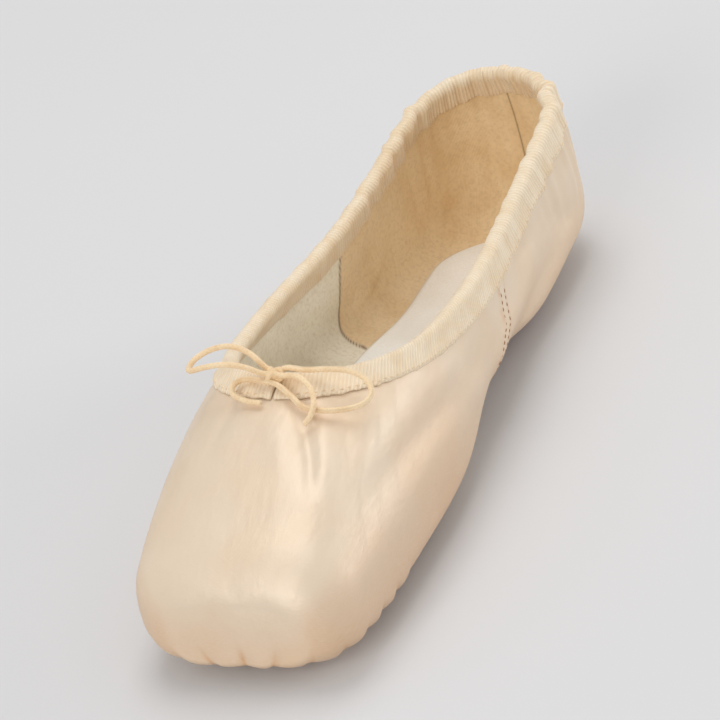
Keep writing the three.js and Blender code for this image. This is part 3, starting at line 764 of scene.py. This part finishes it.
def cord_material():
    """The drawstring: a braided cord, matt, a little darker in its hollows as painted shade."""
    shader = Shader("braided_cord", Sheen_Weight=0.25, Specular_IOR_Level=0.35)
    cloth = shader.cloth()
    one = shader.wave(cloth, 0.45, "DIAGONAL", 0.4)
    other = shader.wave(shader.scaled(cloth, (1.0, -1.0, 1.0)), 0.45, "DIAGONAL", 0.4)
    braid = shader.math("MAXIMUM", one, other)
    blot = shader.noise(shader.place(0.25), 3.0)
    color = shader.mix(shader.remap(blot, 0.35, 0.7), (246, 222, 184), (236, 206, 164))
    # Painted shade in the braid's hollows.
    color = shader.mix(shader.remap(braid, 0.2, 0.8, 0.22, 0.0), color, (222, 182, 130))
    normal = shader.bump(braid, 0.09, 0.6)
    normal = shader.bump(shader.noise(shader.place(2.4), 2.0), 0.08, 0.5, normal)
    return shader.finish(color, normal, 0.7)


def thread_material(name, light, dark):
    """Sewing thread in two shades."""
    shader = Shader(name, Sheen_Weight=0.2, Specular_IOR_Level=0.4)
    fine = shader.noise(shader.place(2.0), 2.0)
    return shader.finish(shader.mix(fine, light, dark), shader.bump(fine, 0.06, 0.5), 0.55)


def sock_material():
    """Brushed off-white sock over the insole board."""
    shader = Shader("brushed_sock", Sheen_Weight=0.4, Specular_IOR_Level=0.25)
    nap = shader.noise(shader.place(1.4), 5.0, 0.7)
    blot = shader.noise(shader.place(0.05), 3.0)
    color = shader.mix(shader.remap(blot, 0.3, 0.75), (248, 246, 240), (240, 236, 228))
    color = shader.mix(shader.remap(nap, 0.35, 0.8, 0.0, 0.25), color, (204, 192, 174))
    # Painted shade: darker and warmer at the sock's edge, where it meets the wall.
    color = shader.mix(shader.attribute("painted_shade"), color, (196, 176, 146))
    return shader.finish(color, shader.bump(nap, 0.14, 0.6), 0.9)


# Lines scored across the outsole: their slants in degrees, how far apart and how wide they are in mm.
SCORE_SLANTS, SCORE_SPACING, SCORE_WIDTH = (54, -47), 10.5, 0.3


def leather_material():
    """Brown outsole leather: fine grain, burnished edge, and lines scored both ways under the forefoot."""
    shader = Shader("sole_leather", Specular_IOR_Level=0.45, Coat_Weight=0.08, Coat_Roughness=0.45)
    grain = shader.add("TexVoronoi", "Distance", {"Vector": shader.place(0.9), "Scale": 1.0})
    fibre = shader.noise(shader.place((0.3, 1.6, 1.2)), 4.0, 0.6)
    blot = shader.noise(shader.place(0.045), 4.0, 0.55, 0.3)
    drift = shader.noise(shader.place(0.03), 1.0)
    score = None
    for slant in SCORE_SLANTS:
        way = (math.cos(math.radians(slant)), math.sin(math.radians(slant)), 0)
        inputs = {0: shader.place(1 / SCORE_SPACING), 1: way}
        across = shader.add("VectorMath", "Value", inputs, operation="DOT_PRODUCT")
        across = shader.math("ADD", across, shader.math("MULTIPLY", drift, 0.45))
        away = shader.math("ABSOLUTE", shader.math("SUBTRACT", shader.math("FRACT", across), 0.5))
        line = shader.remap(away, 0.0, SCORE_WIDTH / SCORE_SPACING, 1.0, 0.0)
        score = line if score is None else shader.math("MAXIMUM", score, line)
    score = shader.math("MULTIPLY", score, shader.attribute("scored"))
    mark = shader.math("MAXIMUM", shader.math("MULTIPLY", score, 0.75), shader.attribute("dot"))
    color = shader.mix(shader.remap(blot, 0.32, 0.7), (160, 100, 74), (128, 76, 55))
    color = shader.mix(shader.remap(fibre, 0.3, 0.8, 0.0, 0.3), color, (176, 118, 88))
    color = shader.mix(shader.attribute("edge"), color, (84, 48, 34))
    color = shader.mix(mark, color, (62, 32, 22))
    normal = shader.bump(grain, 0.08, 0.35)
    normal = shader.bump(fibre, 0.08, 0.35, normal)
    normal = shader.bump(shader.math("SUBTRACT", 1.0, mark), 0.35, 0.8, normal)
    return shader.finish(color, normal, shader.remap(blot, 0.3, 0.7, 0.48, 0.62))


SATIN = satin_material()
LINING = lining_material()
TAPE = tape_material()
CORD = cord_material()
PALE_THREAD = thread_material("pale_thread", (244, 222, 190), (228, 198, 158))
BROWN_THREAD = thread_material("brown_thread", (194, 146, 108), (164, 118, 84))
SOCK = sock_material()
LEATHER = leather_material()


# The upper: satin outside, lining inside, one closed shell


def lengths(points, axis):
    """Distance along a grid's axis, in mm, starting at 0."""
    steps = np.linalg.norm(np.diff(points, axis=axis), axis=-1)
    shape = list(points.shape[:2])
    shape[axis] = 1
    return np.concatenate([np.zeros(shape), np.cumsum(steps, axis=axis)], axis=axis)


# The upper's rows up the satin and down the lining, and its columns round the shoe and at each side seam.
SATIN_ROWS, LINING_ROWS = 128, 40
COLUMNS, SEAM_COLUMNS = 470, 70

# Where columns stand closer together, in s: at the satin's side seams and at the lining's back seam.
SEAM_BAND = (0.49, 0.57)
BACK_SEAM_FROM, BACK_SEAM_COLUMNS = 0.99, 9

# The lining's folds never come nearer to the satin than this, in mm.
LEAST_WALL = 0.8


def columns_round():
    """Places round the shoe from -1 to 1, closer together where the seams run."""
    low, high = SEAM_BAND
    front = np.linspace(0, low, int(COLUMNS * low / 2), endpoint=False)
    seam = np.linspace(low, high, SEAM_COLUMNS, endpoint=False)
    back = np.linspace(high, BACK_SEAM_FROM, int(COLUMNS * (1 - high) / 2), endpoint=False)
    half = np.concatenate([front, seam, back, np.linspace(BACK_SEAM_FROM, 1, BACK_SEAM_COLUMNS)])
    return np.concatenate([-half[:0:-1], half[:-1]])


def make_upper():
    s = columns_round()
    around = len(s)
    out_s, out_t = np.meshgrid(s, np.linspace(0, 1, SATIN_ROWS), indexing="ij")
    outer, _ = outer_point(out_s, out_t)
    base = skin_point(out_s, out_t)
    _, crease = pleats(out_s, out_t, base)
    in_s, in_t = np.meshgrid(s, np.linspace(1, 0, LINING_ROWS), indexing="ij")
    point, normal, _, _ = skin_frame(in_s, in_t)
    depth = wall_at(point[..., 0]) + 1.2 * fold_relief(point, LINING_FOLDS) - ruffle_at(in_s, in_t)
    depth = np.maximum(depth, LEAST_WALL - outer_relief(in_s, in_t, point))
    inner = point - normal * depth[..., None]
    points = np.concatenate([outer, inner], axis=1)
    count = SATIN_ROWS + LINING_ROWS
    faces = ring_faces(around, count, True)
    slots = np.tile(np.where(np.arange(count) < SATIN_ROWS - 1, 0, 1), around)

    # The cloth's own measures, and where painted shade darkens the satin: low down, at the box's sides, in
    # its pleats and along the seam's tape.
    up = lengths(points, 1)
    across = lengths(skin_point(s, np.full(around, 0.6))[:, None, :], 0)
    cloth = np.stack([np.repeat(across, count, 1), up, np.zeros_like(up)], -1)
    x = outer[..., 0]
    low = 1 - smooth((outer[..., 2] - 4) / 30)
    half = section(np.clip(x, 0.5, LENGTH - 0.5))[0]
    aside = smooth((np.abs(outer[..., 1] - middle_of(x)) / half - 0.8) / 0.18) * (1 - smooth((x - 80) / 40))
    near = np.abs(seam_distance(out_t, base))
    tape_edge = bell((near - SEAM_HALF - 0.15) / 0.3) * (near < 6)
    # Painted shade mask for the satin.
    painted_shade = np.clip(0.38 * low + 0.24 * aside + 0.95 * crease + 0.6 * tape_edge, 0, 1)

    # The lining's quarters, and its seams in front of them and down the back.
    far = seam_distance(in_t, point, *LINING_SEAM)
    dark = bell(far / 0.38) + 0.75 * bell((1 - np.abs(in_s)) / 0.0011)
    no_satin, no_lining = np.zeros(outer.shape[:2]), np.zeros(inner.shape[:2])
    attributes = {
        "cloth": cloth.reshape(-1, 3),
        "painted_shade": np.concatenate([painted_shade, no_lining], 1).ravel(),
        "quarter": np.concatenate([no_satin, smooth(far / 0.6)], 1).ravel(),
        "seam": np.concatenate([no_satin, np.clip(dark, 0, 1)], 1).ravel(),
    }
    item = make_object("upper_shell", points.reshape(-1, 3), faces, [SATIN, LINING], attributes, slots)
    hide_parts("upper")


# Plates: outsole and insole


def underside(x, y):
    """Height of the last's underside, y from the middle line."""
    half, low, mid, _, _, down = section(x)
    side = np.clip(np.abs(y) / half, 0, 0.999)
    return mid - (mid - low) * (1 - side**down) ** (1 / down)


def underside_offset(x, y, distance):
    """Height of a surface this far above the underside, square to it."""
    y = np.abs(y)
    slope_x = (underside(x + STEP, y) - underside(x - STEP, y)) / (2 * STEP)
    slope_y = (underside(x, y + STEP) - underside(x, np.maximum(y - STEP, 0))) / (2 * STEP)
    return underside(x, y) + distance * np.sqrt(1 + slope_x**2 + slope_y**2)


# Two pin holes left by the last: along, aside; and the square of their size in mm.
PIN_HOLES, PIN_HOLE_SPREAD = ((38, 9.5), (176, -2.0)), 0.55

# Where the outsole is scored: along from, along to, and in from its edge.
SCORED_FROM, SCORED_TO, SCORED_IN = 22, 98, 2.4


def plate(front, back, half, stations, lanes, top, bottom):
    """A plate between two surfaces: its points, its faces and each point's way in from the edge."""
    share = spread(np.arange(1, stations) / stations)
    x = (front + (back - front) * share)[:, None]
    lane = np.cos(np.linspace(0, np.pi, lanes + 1))[None, :]
    y = lane * half(x)
    x = np.broadcast_to(x, y.shape)
    edge = half(x) - np.abs(y)
    upper = np.stack([x, middle_of(x) + y, top(x, y, edge)], -1)
    lower = np.stack([x, middle_of(x) + y, bottom(x, y, edge)], -1)[:, ::-1]
    rings = np.concatenate([upper, lower], 1)
    edge = np.concatenate([edge, edge[:, ::-1]], 1)
    return rings, ring_faces(stations - 1, rings.shape[1], False), edge


def make_outsole():
    def top(x, y, edge):
        return underside_offset(x, y, -GAP)

    def bottom(x, y, edge):
        skive = 1 - smooth(edge / OUTSOLE_SKIVE)
        room = np.maximum(0, top(x, y, edge) - sole_line(x) - OUTSOLE_EDGE)
        return sole_line(x) + room * skive

    rings, faces, edge = plate(OUTSOLE_FRONT, OUTSOLE_BACK, outsole_half, 400, 96, top, bottom)
    x, y = rings[..., 0], rings[..., 1] - middle_of(rings[..., 0])
    below = rings[..., 2] < top(x, y, edge) - 0.4
    scored = smooth((x - SCORED_FROM) / 4) * (1 - smooth((x - SCORED_TO) / 5))
    scored = below * smooth((edge - SCORED_IN) / 1.0) * scored
    dots = np.zeros(x.shape)
    for at, side in PIN_HOLES:
        dots = np.maximum(dots, below * np.exp(-(((x - at) ** 2 + (y - side) ** 2) / PIN_HOLE_SPREAD)))
    dark = 0.75 * (1 - smooth(edge / 2.2))
    attributes = {"scored": scored.ravel(), "dot": dots.ravel(), "edge": dark.ravel()}
    item = make_object("outsole_leather", rings.reshape(-1, 3), faces, LEATHER, attributes)
    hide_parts("outsole")


def make_insole():
    def bottom(x, y, edge):
        return underside_offset(x, y, wall_at(x) + GAP)

    def top(x, y, edge):
        heel = bell((x - 192) / 16) * bell(y / 12)
        ball = bell((x - 66) / 16) * bell(y / 16)
        round_off = 0.7 * (1 - smooth(edge / 1.4))
        return bottom(x, y, edge) + INSOLE_THICKNESS - round_off - 0.35 * heel - 0.3 * ball

    rings, faces, edge = plate(INSOLE_FRONT, INSOLE_BACK, insole_half, 150, 40, top, bottom)
    # Painted shade along the sock's edge, where it meets the upper's wall.
    painted_shade = 0.6 * (1 - smooth(edge / 1.2))
    item = make_object("insole_sock", rings.reshape(-1, 3), faces, SOCK, {"painted_shade": painted_shade.ravel()})
    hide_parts("insole")


# The binding folded over the collar

# Its section, from the outer lower edge over the rim to the inner edge and back: side, mm down, mm out.
BINDING_SECTION = [
    ("out", 1.0, 0.05, 0.0), ("out", 1.0, 0.45, 0.0), ("out", 0.96, 0.72, 0.0), ("out", 0.85, 0.86, 0.0),
    ("out", 0.72, 0.86, 0.0), ("out", 0.6, 0.9, 0.0), ("out", 0.46, 0.98, 0.0), ("out", 0.34, 1.12, 0.0),
    ("out", 0.22, 1.3, 0.0), ("out", 0.1, 1.4, 0.0), ("out", 0.0, 1.3, 0.0),
    ("rim", -0.75, 1.05, 0.0), ("rim", -1.3, 0.5, 0.0), ("rim", -1.55, -0.2, 0.35), ("rim", -1.5, -0.3, 1.0),
    ("in", 0.0, 1.25, 0.0), ("in", 0.12, 1.3, 0.0), ("in", 0.26, 1.15, 0.0), ("in", 0.42, 0.95, 0.0),
    ("in", 0.6, 0.85, 0.0), ("in", 0.78, 0.8, 0.0), ("in", 0.84, 0.55, 0.0), ("in", 0.86, 0.15, 0.0),
    ("in", 0.6, 0.1, 0.0), ("in", 0.3, 0.1, 0.0), ("rim", -0.3, -0.3, 1.0), ("rim", -0.3, 0.3, 0.0),
    ("out", 0.3, 0.1, 0.0), ("out", 0.65, 0.05, 0.0),
]


# Where the binding's halves start beside the throat's gap, in s, and its columns.
THROAT_GAP, BINDING_COLUMNS = 0.0015, 440
BINDING_CLEAR = GAP * 0.6

# How far out the gathered tape puffs, in mm.
SWELL = 0.32


def round_collar(first, count):
    """Places from one side of the throat's gap round the heel to the other side."""
    half = np.linspace(first, 1, count)
    return np.concatenate([half, -half[::-1][1:]])


def binding_edge(s):
    """The binding's own width, its lower edge drawn up and down where it is gathered."""
    return BINDING_WIDTH + 0.7 * waves(s, 26, 71) * gather(s) + 0.3 * waves(s, 60, 73)


def binding_puff(s):
    """How the gathered tape puffs out and draws in."""
    return 1.1 * gather(s) * waves(s, 52, 83) + 0.2 * waves(s, 120, 89)


def make_binding():
    s = round_collar(THROAT_GAP, BINDING_COLUMNS)
    rim, rim_normal, rim_up, _ = skin_frame(s, np.ones_like(s))
    speed = np.linalg.norm(rim_up, axis=-1)
    way_up = unit(rim_up)
    width, puff = binding_edge(s), binding_puff(s)
    wall = wall_at(rim[:, 0])
    rings = []
    for kind, down, out, wall_share in BINDING_SECTION:
        if kind == "rim":
            t = 1.0
            over = (-down * (1 + 0.25 * puff))[:, None] * way_up
            place = rim + over + (out - wall_share * wall)[:, None] * rim_normal
        else:
            t = 1 - down * width / speed
            point, normal, _, _ = skin_frame(s, t)
            lift = BINDING_CLEAR + out + (SWELL * puff if out > 0.3 else np.zeros_like(s))
            if kind == "in":
                lift = -wall_at(point[:, 0]) - lift
            place = point + lift[:, None] * normal
        rings.append(place + ruffle_at(s, t)[:, None] * rim_normal)
    points = np.stack(rings, 1)
    around = lengths(rim[:, None, :], 0)
    profile = lengths(points, 1)
    cloth = np.stack([np.repeat(around, len(BINDING_SECTION), 1), profile, np.zeros_like(profile)], -1)
    inner = np.array([kind == "in" for kind, _, _, _ in BINDING_SECTION], float)
    # Painted shade on the tape's inner side and where the gathered tape draws in.
    painted_shade = np.clip(0.35 * inner[None, :] + 0.25 * np.clip(-puff, 0, 1)[:, None], 0, 1)
    faces = ring_faces(len(s), len(BINDING_SECTION), False)
    attributes = {"cloth": cloth.reshape(-1, 3), "painted_shade": painted_shade.ravel()}
    item = make_object("collar_binding", points.reshape(-1, 3), faces, TAPE, attributes)
    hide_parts("binding")


# The strip down the back

# Its stitches run this far in from its edges, and it takes this share of the quarters' folds.
STRIP_INSET, STRIP_FOLDS = 1.3, 0.5
STRIP_HIGH = GAP + STRIP_THICKNESS * 0.75


def strip_place(y, t):
    """s near the heel's middle where the skin lies y mm from the middle line."""
    y, t = np.broadcast_arrays(np.asarray(y, float), np.asarray(t, float))
    near, far = np.zeros(t.shape), np.full(t.shape, 0.5)
    for _ in range(24):
        away = (near + far) / 2
        point = skin_point(1 - away, t)
        short = point[..., 1] - middle_of(point[..., 0]) < np.abs(y)
        near, far = np.where(short, away, near), np.where(short, far, away)
    return np.where(y < 0, near - 1, 1 - near)


def strip_grid(rows, lanes):
    """t values for each lane, from the outsole's end up to the binding."""
    _, _, up, _ = skin_frame(1.0, 1.0)
    top = 1 - (BINDING_WIDTH - 1.0) / float(np.linalg.norm(up))
    tries = np.linspace(0, 0.5, 400)
    y = np.asarray(lanes, float)
    x = skin_point(strip_place(y[:, None], tries[None, :]), tries[None, :])[..., 0]
    start = tries[np.argmax(x >= OUTSOLE_BACK + 2 * GAP, axis=1)]
    share = np.linspace(0, 1, rows)[:, None]
    return start[None, :] * (1 - share) + top * share


def make_strip():
    rows = 110
    lanes = STRIP_WIDTH / 2 * np.sin(np.linspace(-1, 1, 33) * np.pi / 2)
    t = strip_grid(rows, lanes)
    s = strip_place(lanes[None, :], t)
    point, normal, _, _ = skin_frame(s, t)
    inset = STRIP_WIDTH / 2 - np.abs(lanes)[None, :]
    pucker = 0.09 * np.sin(t * 300 + lanes[None, :]) * bell((inset - STRIP_INSET) / 0.8)
    crown = 0.25 * np.sqrt(np.clip(inset / 2.2, 0, 1)) - 0.28 * bell((inset - STRIP_INSET) / 0.5)
    high = STRIP_HIGH + crown + pucker + STRIP_FOLDS * fold_relief(point, QUARTER_FOLDS)
    outer = point + normal * high[..., None]
    inner = (point + normal * (GAP * 0.3))[:, ::-1]
    rings = np.concatenate([outer, inner], 1)
    faces = ring_faces(rows, rings.shape[1], False)
    up = lengths(rings, 0)
    side = np.concatenate([lanes, lanes[::-1]])[None, :] + np.zeros_like(up)
    # Painted shade along the stitch grooves near the strip's edges.
    dark = 0.35 * bell((inset - STRIP_INSET) / 0.4) + np.zeros_like(t)
    attributes = {
        "cloth": np.stack([side, up, np.zeros_like(up)], -1).reshape(-1, 3),
        "painted_shade": np.concatenate([dark, dark[:, ::-1]], 1).ravel(),
    }
    item = make_object("back_strip", rings.reshape(-1, 3), faces, SATIN, attributes)
    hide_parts("heel_strip")


# Stitches


# A stitch's length in mm, and the rings and sides of its thread.
STITCH_LENGTH, STITCH_RINGS, STITCH_SIDES = 1.5, 7, 6


def stitch_row(line, normal, gap, radius):
    """Little thread humps along a line of points, standing on the surface that has these normals."""
    far = np.concatenate([[0], np.cumsum(np.linalg.norm(np.diff(line, axis=0), axis=1))])
    angles = np.arange(STITCH_SIDES) * 2 * np.pi / STITCH_SIDES
    shares = np.linspace(0, 1, STITCH_RINGS)
    hump = np.sin(np.pi * shares)
    parts = []
    for k in range(int(far[-1] // (STITCH_LENGTH + gap))):
        at = k * (STITCH_LENGTH + gap) + gap / 2 + STITCH_LENGTH * shares
        middle = np.stack([np.interp(at, far, line[:, i]) for i in range(3)], -1)
        out = unit(np.stack([np.interp(at, far, normal[:, i]) for i in range(3)], -1))
        along = unit(middle[-1] - middle[0])
        side = unit(np.cross(along, out))
        centre = middle + out * (radius * (1.5 * hump - 0.6))[:, None]
        size = radius * (0.35 + 0.65 * hump**0.5)
        ring = centre[:, None] + size[:, None, None] * (
            np.cos(angles)[None, :, None] * out[:, None] + np.sin(angles)[None, :, None] * side[:, None]
        )
        parts.append((ring.reshape(-1, 3), ring_faces(STITCH_RINGS, STITCH_SIDES, False)))
    return parts


def binding_stitches():
    """One row round the binding's lower edge."""
    s = round_collar(0.008, 500)
    _, rim_normal, up, _ = skin_frame(s, np.ones_like(s))
    t = 1 - (binding_edge(s) - 1.1) / np.linalg.norm(up, axis=-1)
    point, normal, _, _ = skin_frame(s, t)
    lift = BINDING_CLEAR + 0.82 + SWELL * binding_puff(s)
    line = point + normal * lift[:, None] + ruffle_at(s, t)[:, None] * rim_normal
    return stitch_row(line, normal, 0.9, 0.17)


def seam_stitches():
    """Two rows down each side seam, up to just under the binding."""
    parts = []
    t = np.linspace(0.03, SEAM_STITCHES_TO, 160)
    for side in (1, -1):
        for offset in (-SEAM_HALF + STITCH_INSET, SEAM_HALF - STITCH_INSET):
            line, normal = outer_point(seam_place(t, side, offset / SEAM_SLANT), t)
            clear = outline_clear(line) > 0.5
            parts += stitch_row(line[clear], normal[clear], 0.5, 0.16)
    return parts


def strip_stitches():
    """A row down each of the strip's edges."""
    parts = []
    for side in (-1, 1):
        y = np.array([side * (STRIP_WIDTH / 2 - STRIP_INSET)])
        t = strip_grid(160, y)[:, 0]
        point, normal, _, _ = skin_frame(strip_place(y[0], t), t)
        high = STRIP_HIGH - 0.08 + STRIP_FOLDS * fold_relief(point, QUARTER_FOLDS)
        parts += stitch_row(point + normal * high[:, None], normal, 0.8, 0.15)
    return parts


def make_stitches():
    for name, parts, thread in (
        ("binding_stitches", binding_stitches(), PALE_THREAD),
        ("seam_stitches", seam_stitches() + strip_stitches(), BROWN_THREAD),
    ):
        points, faces = joined(parts)
        item = make_object(name, points, faces, thread)


# The bow: two cords through one knot, on the routes of the part's own source

BOW = {
    "bow_loop_left": [
        (2.8, 0.9, 4.7), (6.4, -0.8, 8.7), (10.5, -1.8, 10.9), (15, -2.3, 11.1), (18.4, -0.9, 11.4),
        (19.3, 2.2, 11.7), (18.1, 4.7, 12), (14.6, 5.1, 11.8), (10.1, 5.1, 11.3), (5.8, 4.9, 9.4),
        (2.5, 3.9, 5.6),
    ],
    "bow_loop_right": [
        (-3.2, 0.9, 4.7), (-8.1, 1.2, 4.8), (-13.5, 0.3, 5.7), (-18, -0.5, 6.7), (-21.4, -0.1, 6.9),
        (-23.5, 2.5, 6.5), (-23.2, 6.3, 5.7), (-20.8, 8.7, 3.5), (-17.2, 10.8, 2.6), (-13.6, 11.6, 2.2),
        (-9.9, 11.3, 2.1), (-6.6, 9.2, 2.8), (-3, 6.6, 3.2),
    ],
    "bow_end_left": [
        (3.2, 4.5, 3.3), (7.7, 2.8, 2.6), (10.3, 3.7, 3.2), (11.2, 6.2, 3.6), (10, 8.7, 3.2),
        (6.2, 10.1, 1.9), (2.1, 10.6, 1.6),
    ],
    "bow_end_right": [
        (-3.1, 3.7, 4.6), (-7.4, 4.6, 5.7), (-10.6, 6.8, 5.6), (-12.6, 9.7, 5.2), (-13.4, 12.4, 4.7),
        (-13.1, 14.5, 3.1), (-11.8, 16.4, 1.4),
    ],
}
KNOT_LIFT = GAP + BINDING_THICKNESS + 2.9 * 0.8


def over_vamp(stops):
    """Points over the vamp: mm aside and towards the toe from the middle of the throat, and off the satin."""
    side, forward, lift = np.array(stops, float).T
    x = THROAT_AT - forward

    def height(px, py):
        half, _, mid, high, up, _ = section(px)
        return mid + (high - mid) * (1 - np.clip(np.abs(py) / half, 0, 0.98) ** up) ** (1 / up)

    z = height(x, side)
    slope_x = (height(x + STEP, side) - z) / STEP
    slope_y = (height(x, side + STEP) - z) / STEP
    normal = unit(np.stack([-slope_x, -slope_y, np.ones_like(z)], -1))
    return np.stack([x, middle_of(x) + side, z], -1) + normal * lift[:, None]


def rounded(points, spacing=0.5):
    """A Catmull-Rom curve through points, cut to even steps, and its length."""
    points = np.asarray(points, float)
    padded = np.vstack([2 * points[0] - points[1], points, 2 * points[-1] - points[-2]])
    u = np.linspace(0, 1, 24, endpoint=False)[:, None]
    out = []
    for k in range(1, len(padded) - 2):
        p0, p1, p2, p3 = padded[k - 1 : k + 3]
        square, cube = 2 * p0 - 5 * p1 + 4 * p2 - p3, 3 * p1 - p0 - 3 * p2 + p3
        out.append(0.5 * (2 * p1 + (p2 - p0) * u + square * u**2 + cube * u**3))
    out = np.vstack(out + [points[-1:]])
    far = np.concatenate([[0], np.cumsum(np.linalg.norm(np.diff(out, axis=0), axis=1))])
    at = np.linspace(0, far[-1], int(far[-1] / spacing) + 1)
    return np.stack([np.interp(at, far, out[:, i]) for i in range(3)], -1), far[-1]


def tube_cloth(path, sides, radius):
    """Millimetres along and round a tube, for its weave."""
    along = np.repeat(lengths(path[:, None, :], 0)[:, 0], sides)
    around = np.tile(np.arange(sides) * 2 * np.pi * radius / sides, len(path))
    return np.stack([along, around, np.zeros_like(along)], -1)


# Sides of the cord and of the knot's wrap; the wrap's size and the core's in mm; rings and sides of the core.
CORD_SIDES, WRAP_SIDES = 14, 12
WRAP_SIZE, CORE_SIZE = (0.68, 0.72, 0.95), (1.9, 2.0, 1.6)
CORE_RINGS, CORE_SIDES = 9, 16

# Each cord leaves the throat, enters the knot, makes its loop, crosses the knot and ends on the other side.
CORD_EXIT = (0, 0.6, 0.2)
CORD_WITHIN = {"left": (0.8, 0.7, 2.3), "right": (-0.8, 0.8, 2.8)}
CORD_THROUGH = {"left": (-0.3, 3.5, 5.0), "right": (0.3, 4.9, 3.2)}


def make_knot():
    """The cord wrapped in a trefoil round a small core."""
    centre = over_vamp([(0, KNOT_FORWARD, KNOT_LIFT)])[0]
    u = np.linspace(0, 2 * np.pi, 140, endpoint=False)
    turn = np.stack([np.sin(u) + 2 * np.sin(2 * u), np.cos(u) - 2 * np.cos(2 * u), -1.1 * np.sin(3 * u)], -1)
    wrap = centre + turn * WRAP_SIZE
    rings = tube(np.vstack([wrap, wrap[:1]]), CORD_DIAMETER / 2, WRAP_SIDES)[:-1]
    lat = (-np.pi / 2 + np.pi * (np.arange(CORE_RINGS) + 0.5) / CORE_RINGS)[:, None]
    a = (np.arange(CORE_SIDES) * 2 * np.pi / CORE_SIDES)[None, :]
    core = np.stack([np.cos(lat) * np.cos(a), np.cos(lat) * np.sin(a), np.sin(lat) + 0 * a], -1)
    core = centre + core * CORE_SIZE
    wrap_faces = ring_faces(len(rings), WRAP_SIDES, True)
    points, faces = joined([(rings, wrap_faces), (core, ring_faces(CORE_RINGS, CORE_SIDES, False))])
    cloth = np.zeros((len(points), 3))
    cloth[: len(wrap) * WRAP_SIDES] = tube_cloth(wrap, WRAP_SIDES, CORD_DIAMETER / 2)
    knot = make_object("drawstring_knot", points, faces, CORD, {"cloth": cloth})
    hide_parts("bow_knot")
    return knot


def make_bow():
    knot = make_knot()
    for name, other in (("left", "right"), ("right", "left")):
        loop, end = BOW[f"bow_loop_{name}"], BOW[f"bow_end_{other}"]
        route = over_vamp([CORD_EXIT, CORD_WITHIN[name], *loop, CORD_THROUGH[name], *end])
        path, length = rounded(route)
        size = np.full(len(path), CORD_DIAMETER / 2)
        size[-1] *= 0.8
        points = tube(path, size, CORD_SIDES).reshape(-1, 3)
        faces = ring_faces(len(path), CORD_SIDES, False)
        cloth = tube_cloth(path, CORD_SIDES, CORD_DIAMETER / 2)
        item = make_object(f"drawstring_{name}", points, faces, CORD, {"cloth": cloth})
        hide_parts(f"bow_loop_{name}", f"bow_end_{other}")
        row = to_row(path)


# The room: floor, lights and camera

# The camera stands as the photo's does to the shoe: degrees round from the toe towards -Y, above the
# sole's plane, and rolled; millimetres away; and how far its view is moved aside and up.
CAMERA_ROUND, CAMERA_ABOVE, CAMERA_ROLL = 29.0, 29.9, -15.0
CAMERA_AWAY = 1470.0
CAMERA_LENS = 262.0
CAMERA_ASIDE, CAMERA_RISE = -7.0, 0.0
TARGET = (118.0, 0.0, 27.0)


def camera_axes():
    a, e, r = (math.radians(v) for v in (CAMERA_ROUND, CAMERA_ABOVE, CAMERA_ROLL))
    back = Vector((-math.cos(a) * math.cos(e), -math.sin(a) * math.cos(e), math.sin(e)))
    right = (-back).cross(Vector((0, 0, 1))).normalized()
    up = right.cross(-back)
    return math.cos(r) * right + math.sin(r) * up, -math.sin(r) * right + math.cos(r) * up, back


def make_camera():
    right, up, back = camera_axes()
    target = Vector(to_row(TARGET))
    place = target + (right * CAMERA_ASIDE + up * CAMERA_RISE + back * CAMERA_AWAY) * MM
    data = bpy.data.cameras.new("camera")
    data.lens = CAMERA_LENS
    data.sensor_width = 36
    camera = bpy.data.objects.new("camera", data)
    camera.matrix_world = Matrix.Translation(place) @ Matrix((right, up, back)).transposed().to_4x4()
    bpy.context.scene.collection.objects.link(camera)
    bpy.context.scene.camera = camera


# Each light: place, size in metres, watts and colour; all look at a point just over the floor.
LIGHTS = {
    "overhead": ((0.36, 0.08, 1.25), (0.7, 0.9), 5.4, (1.0, 0.99, 0.975)),
    "back_right": ((1.1, -1.15, 0.4), (0.6, 0.45), 6.8, (1.0, 0.99, 0.98)),
    "front": ((-1.35, 0.1, 0.7), (0.7, 0.7), 6.3, (1.0, 0.99, 0.975)),
}
LIGHTS_AIM = (0, 0, 0.03)
SKY_COLOR, SKY_STRENGTH = (1.0, 0.98, 0.955, 1), 0.59
FLOOR_REACH = 6.0


def make_lights():
    for name, (place, size, power, color) in LIGHTS.items():
        data = bpy.data.lights.new(name, "AREA")
        data.energy = power
        data.shape = "RECTANGLE"
        data.size, data.size_y = size
        data.color = color
        light = bpy.data.objects.new(name, data)
        light.matrix_world = (Vector(place) - Vector(LIGHTS_AIM)).to_track_quat("Z", "Y").to_matrix().to_4x4()
        light.location = place
        bpy.context.scene.collection.objects.link(light)


def make_floor():
    shader = Shader("pale_floor")
    grain = shader.noise(shader.place(0.004), 2.0)
    material = shader.finish(shader.mix(grain, (220, 221, 224), (217, 218, 221)), None, 0.75)
    mesh = bpy.data.meshes.new("floor")
    corners = [(x * FLOOR_REACH, y * FLOOR_REACH, 0) for x, y in ((-1, -1), (1, -1), (1, 1), (-1, 1))]
    mesh.from_pydata(corners, [], [(0, 1, 2, 3)])
    mesh.materials.append(material)
    floor = bpy.data.objects.new("floor", mesh)
    bpy.context.scene.collection.objects.link(floor)


def make_room():
    bpy.context.scene.view_settings.view_transform = "Standard"
    world = bpy.data.worlds.new("studio")
    world.use_nodes = True
    background = world.node_tree.nodes["Background"]
    background.inputs["Color"].default_value = SKY_COLOR
    background.inputs["Strength"].default_value = SKY_STRENGTH
    bpy.context.scene.world = world
    make_camera()
    make_lights()
    make_floor()


make_room()
make_bow()
make_upper()
make_outsole()
make_insole()
make_binding()
make_strip()
make_stitches()
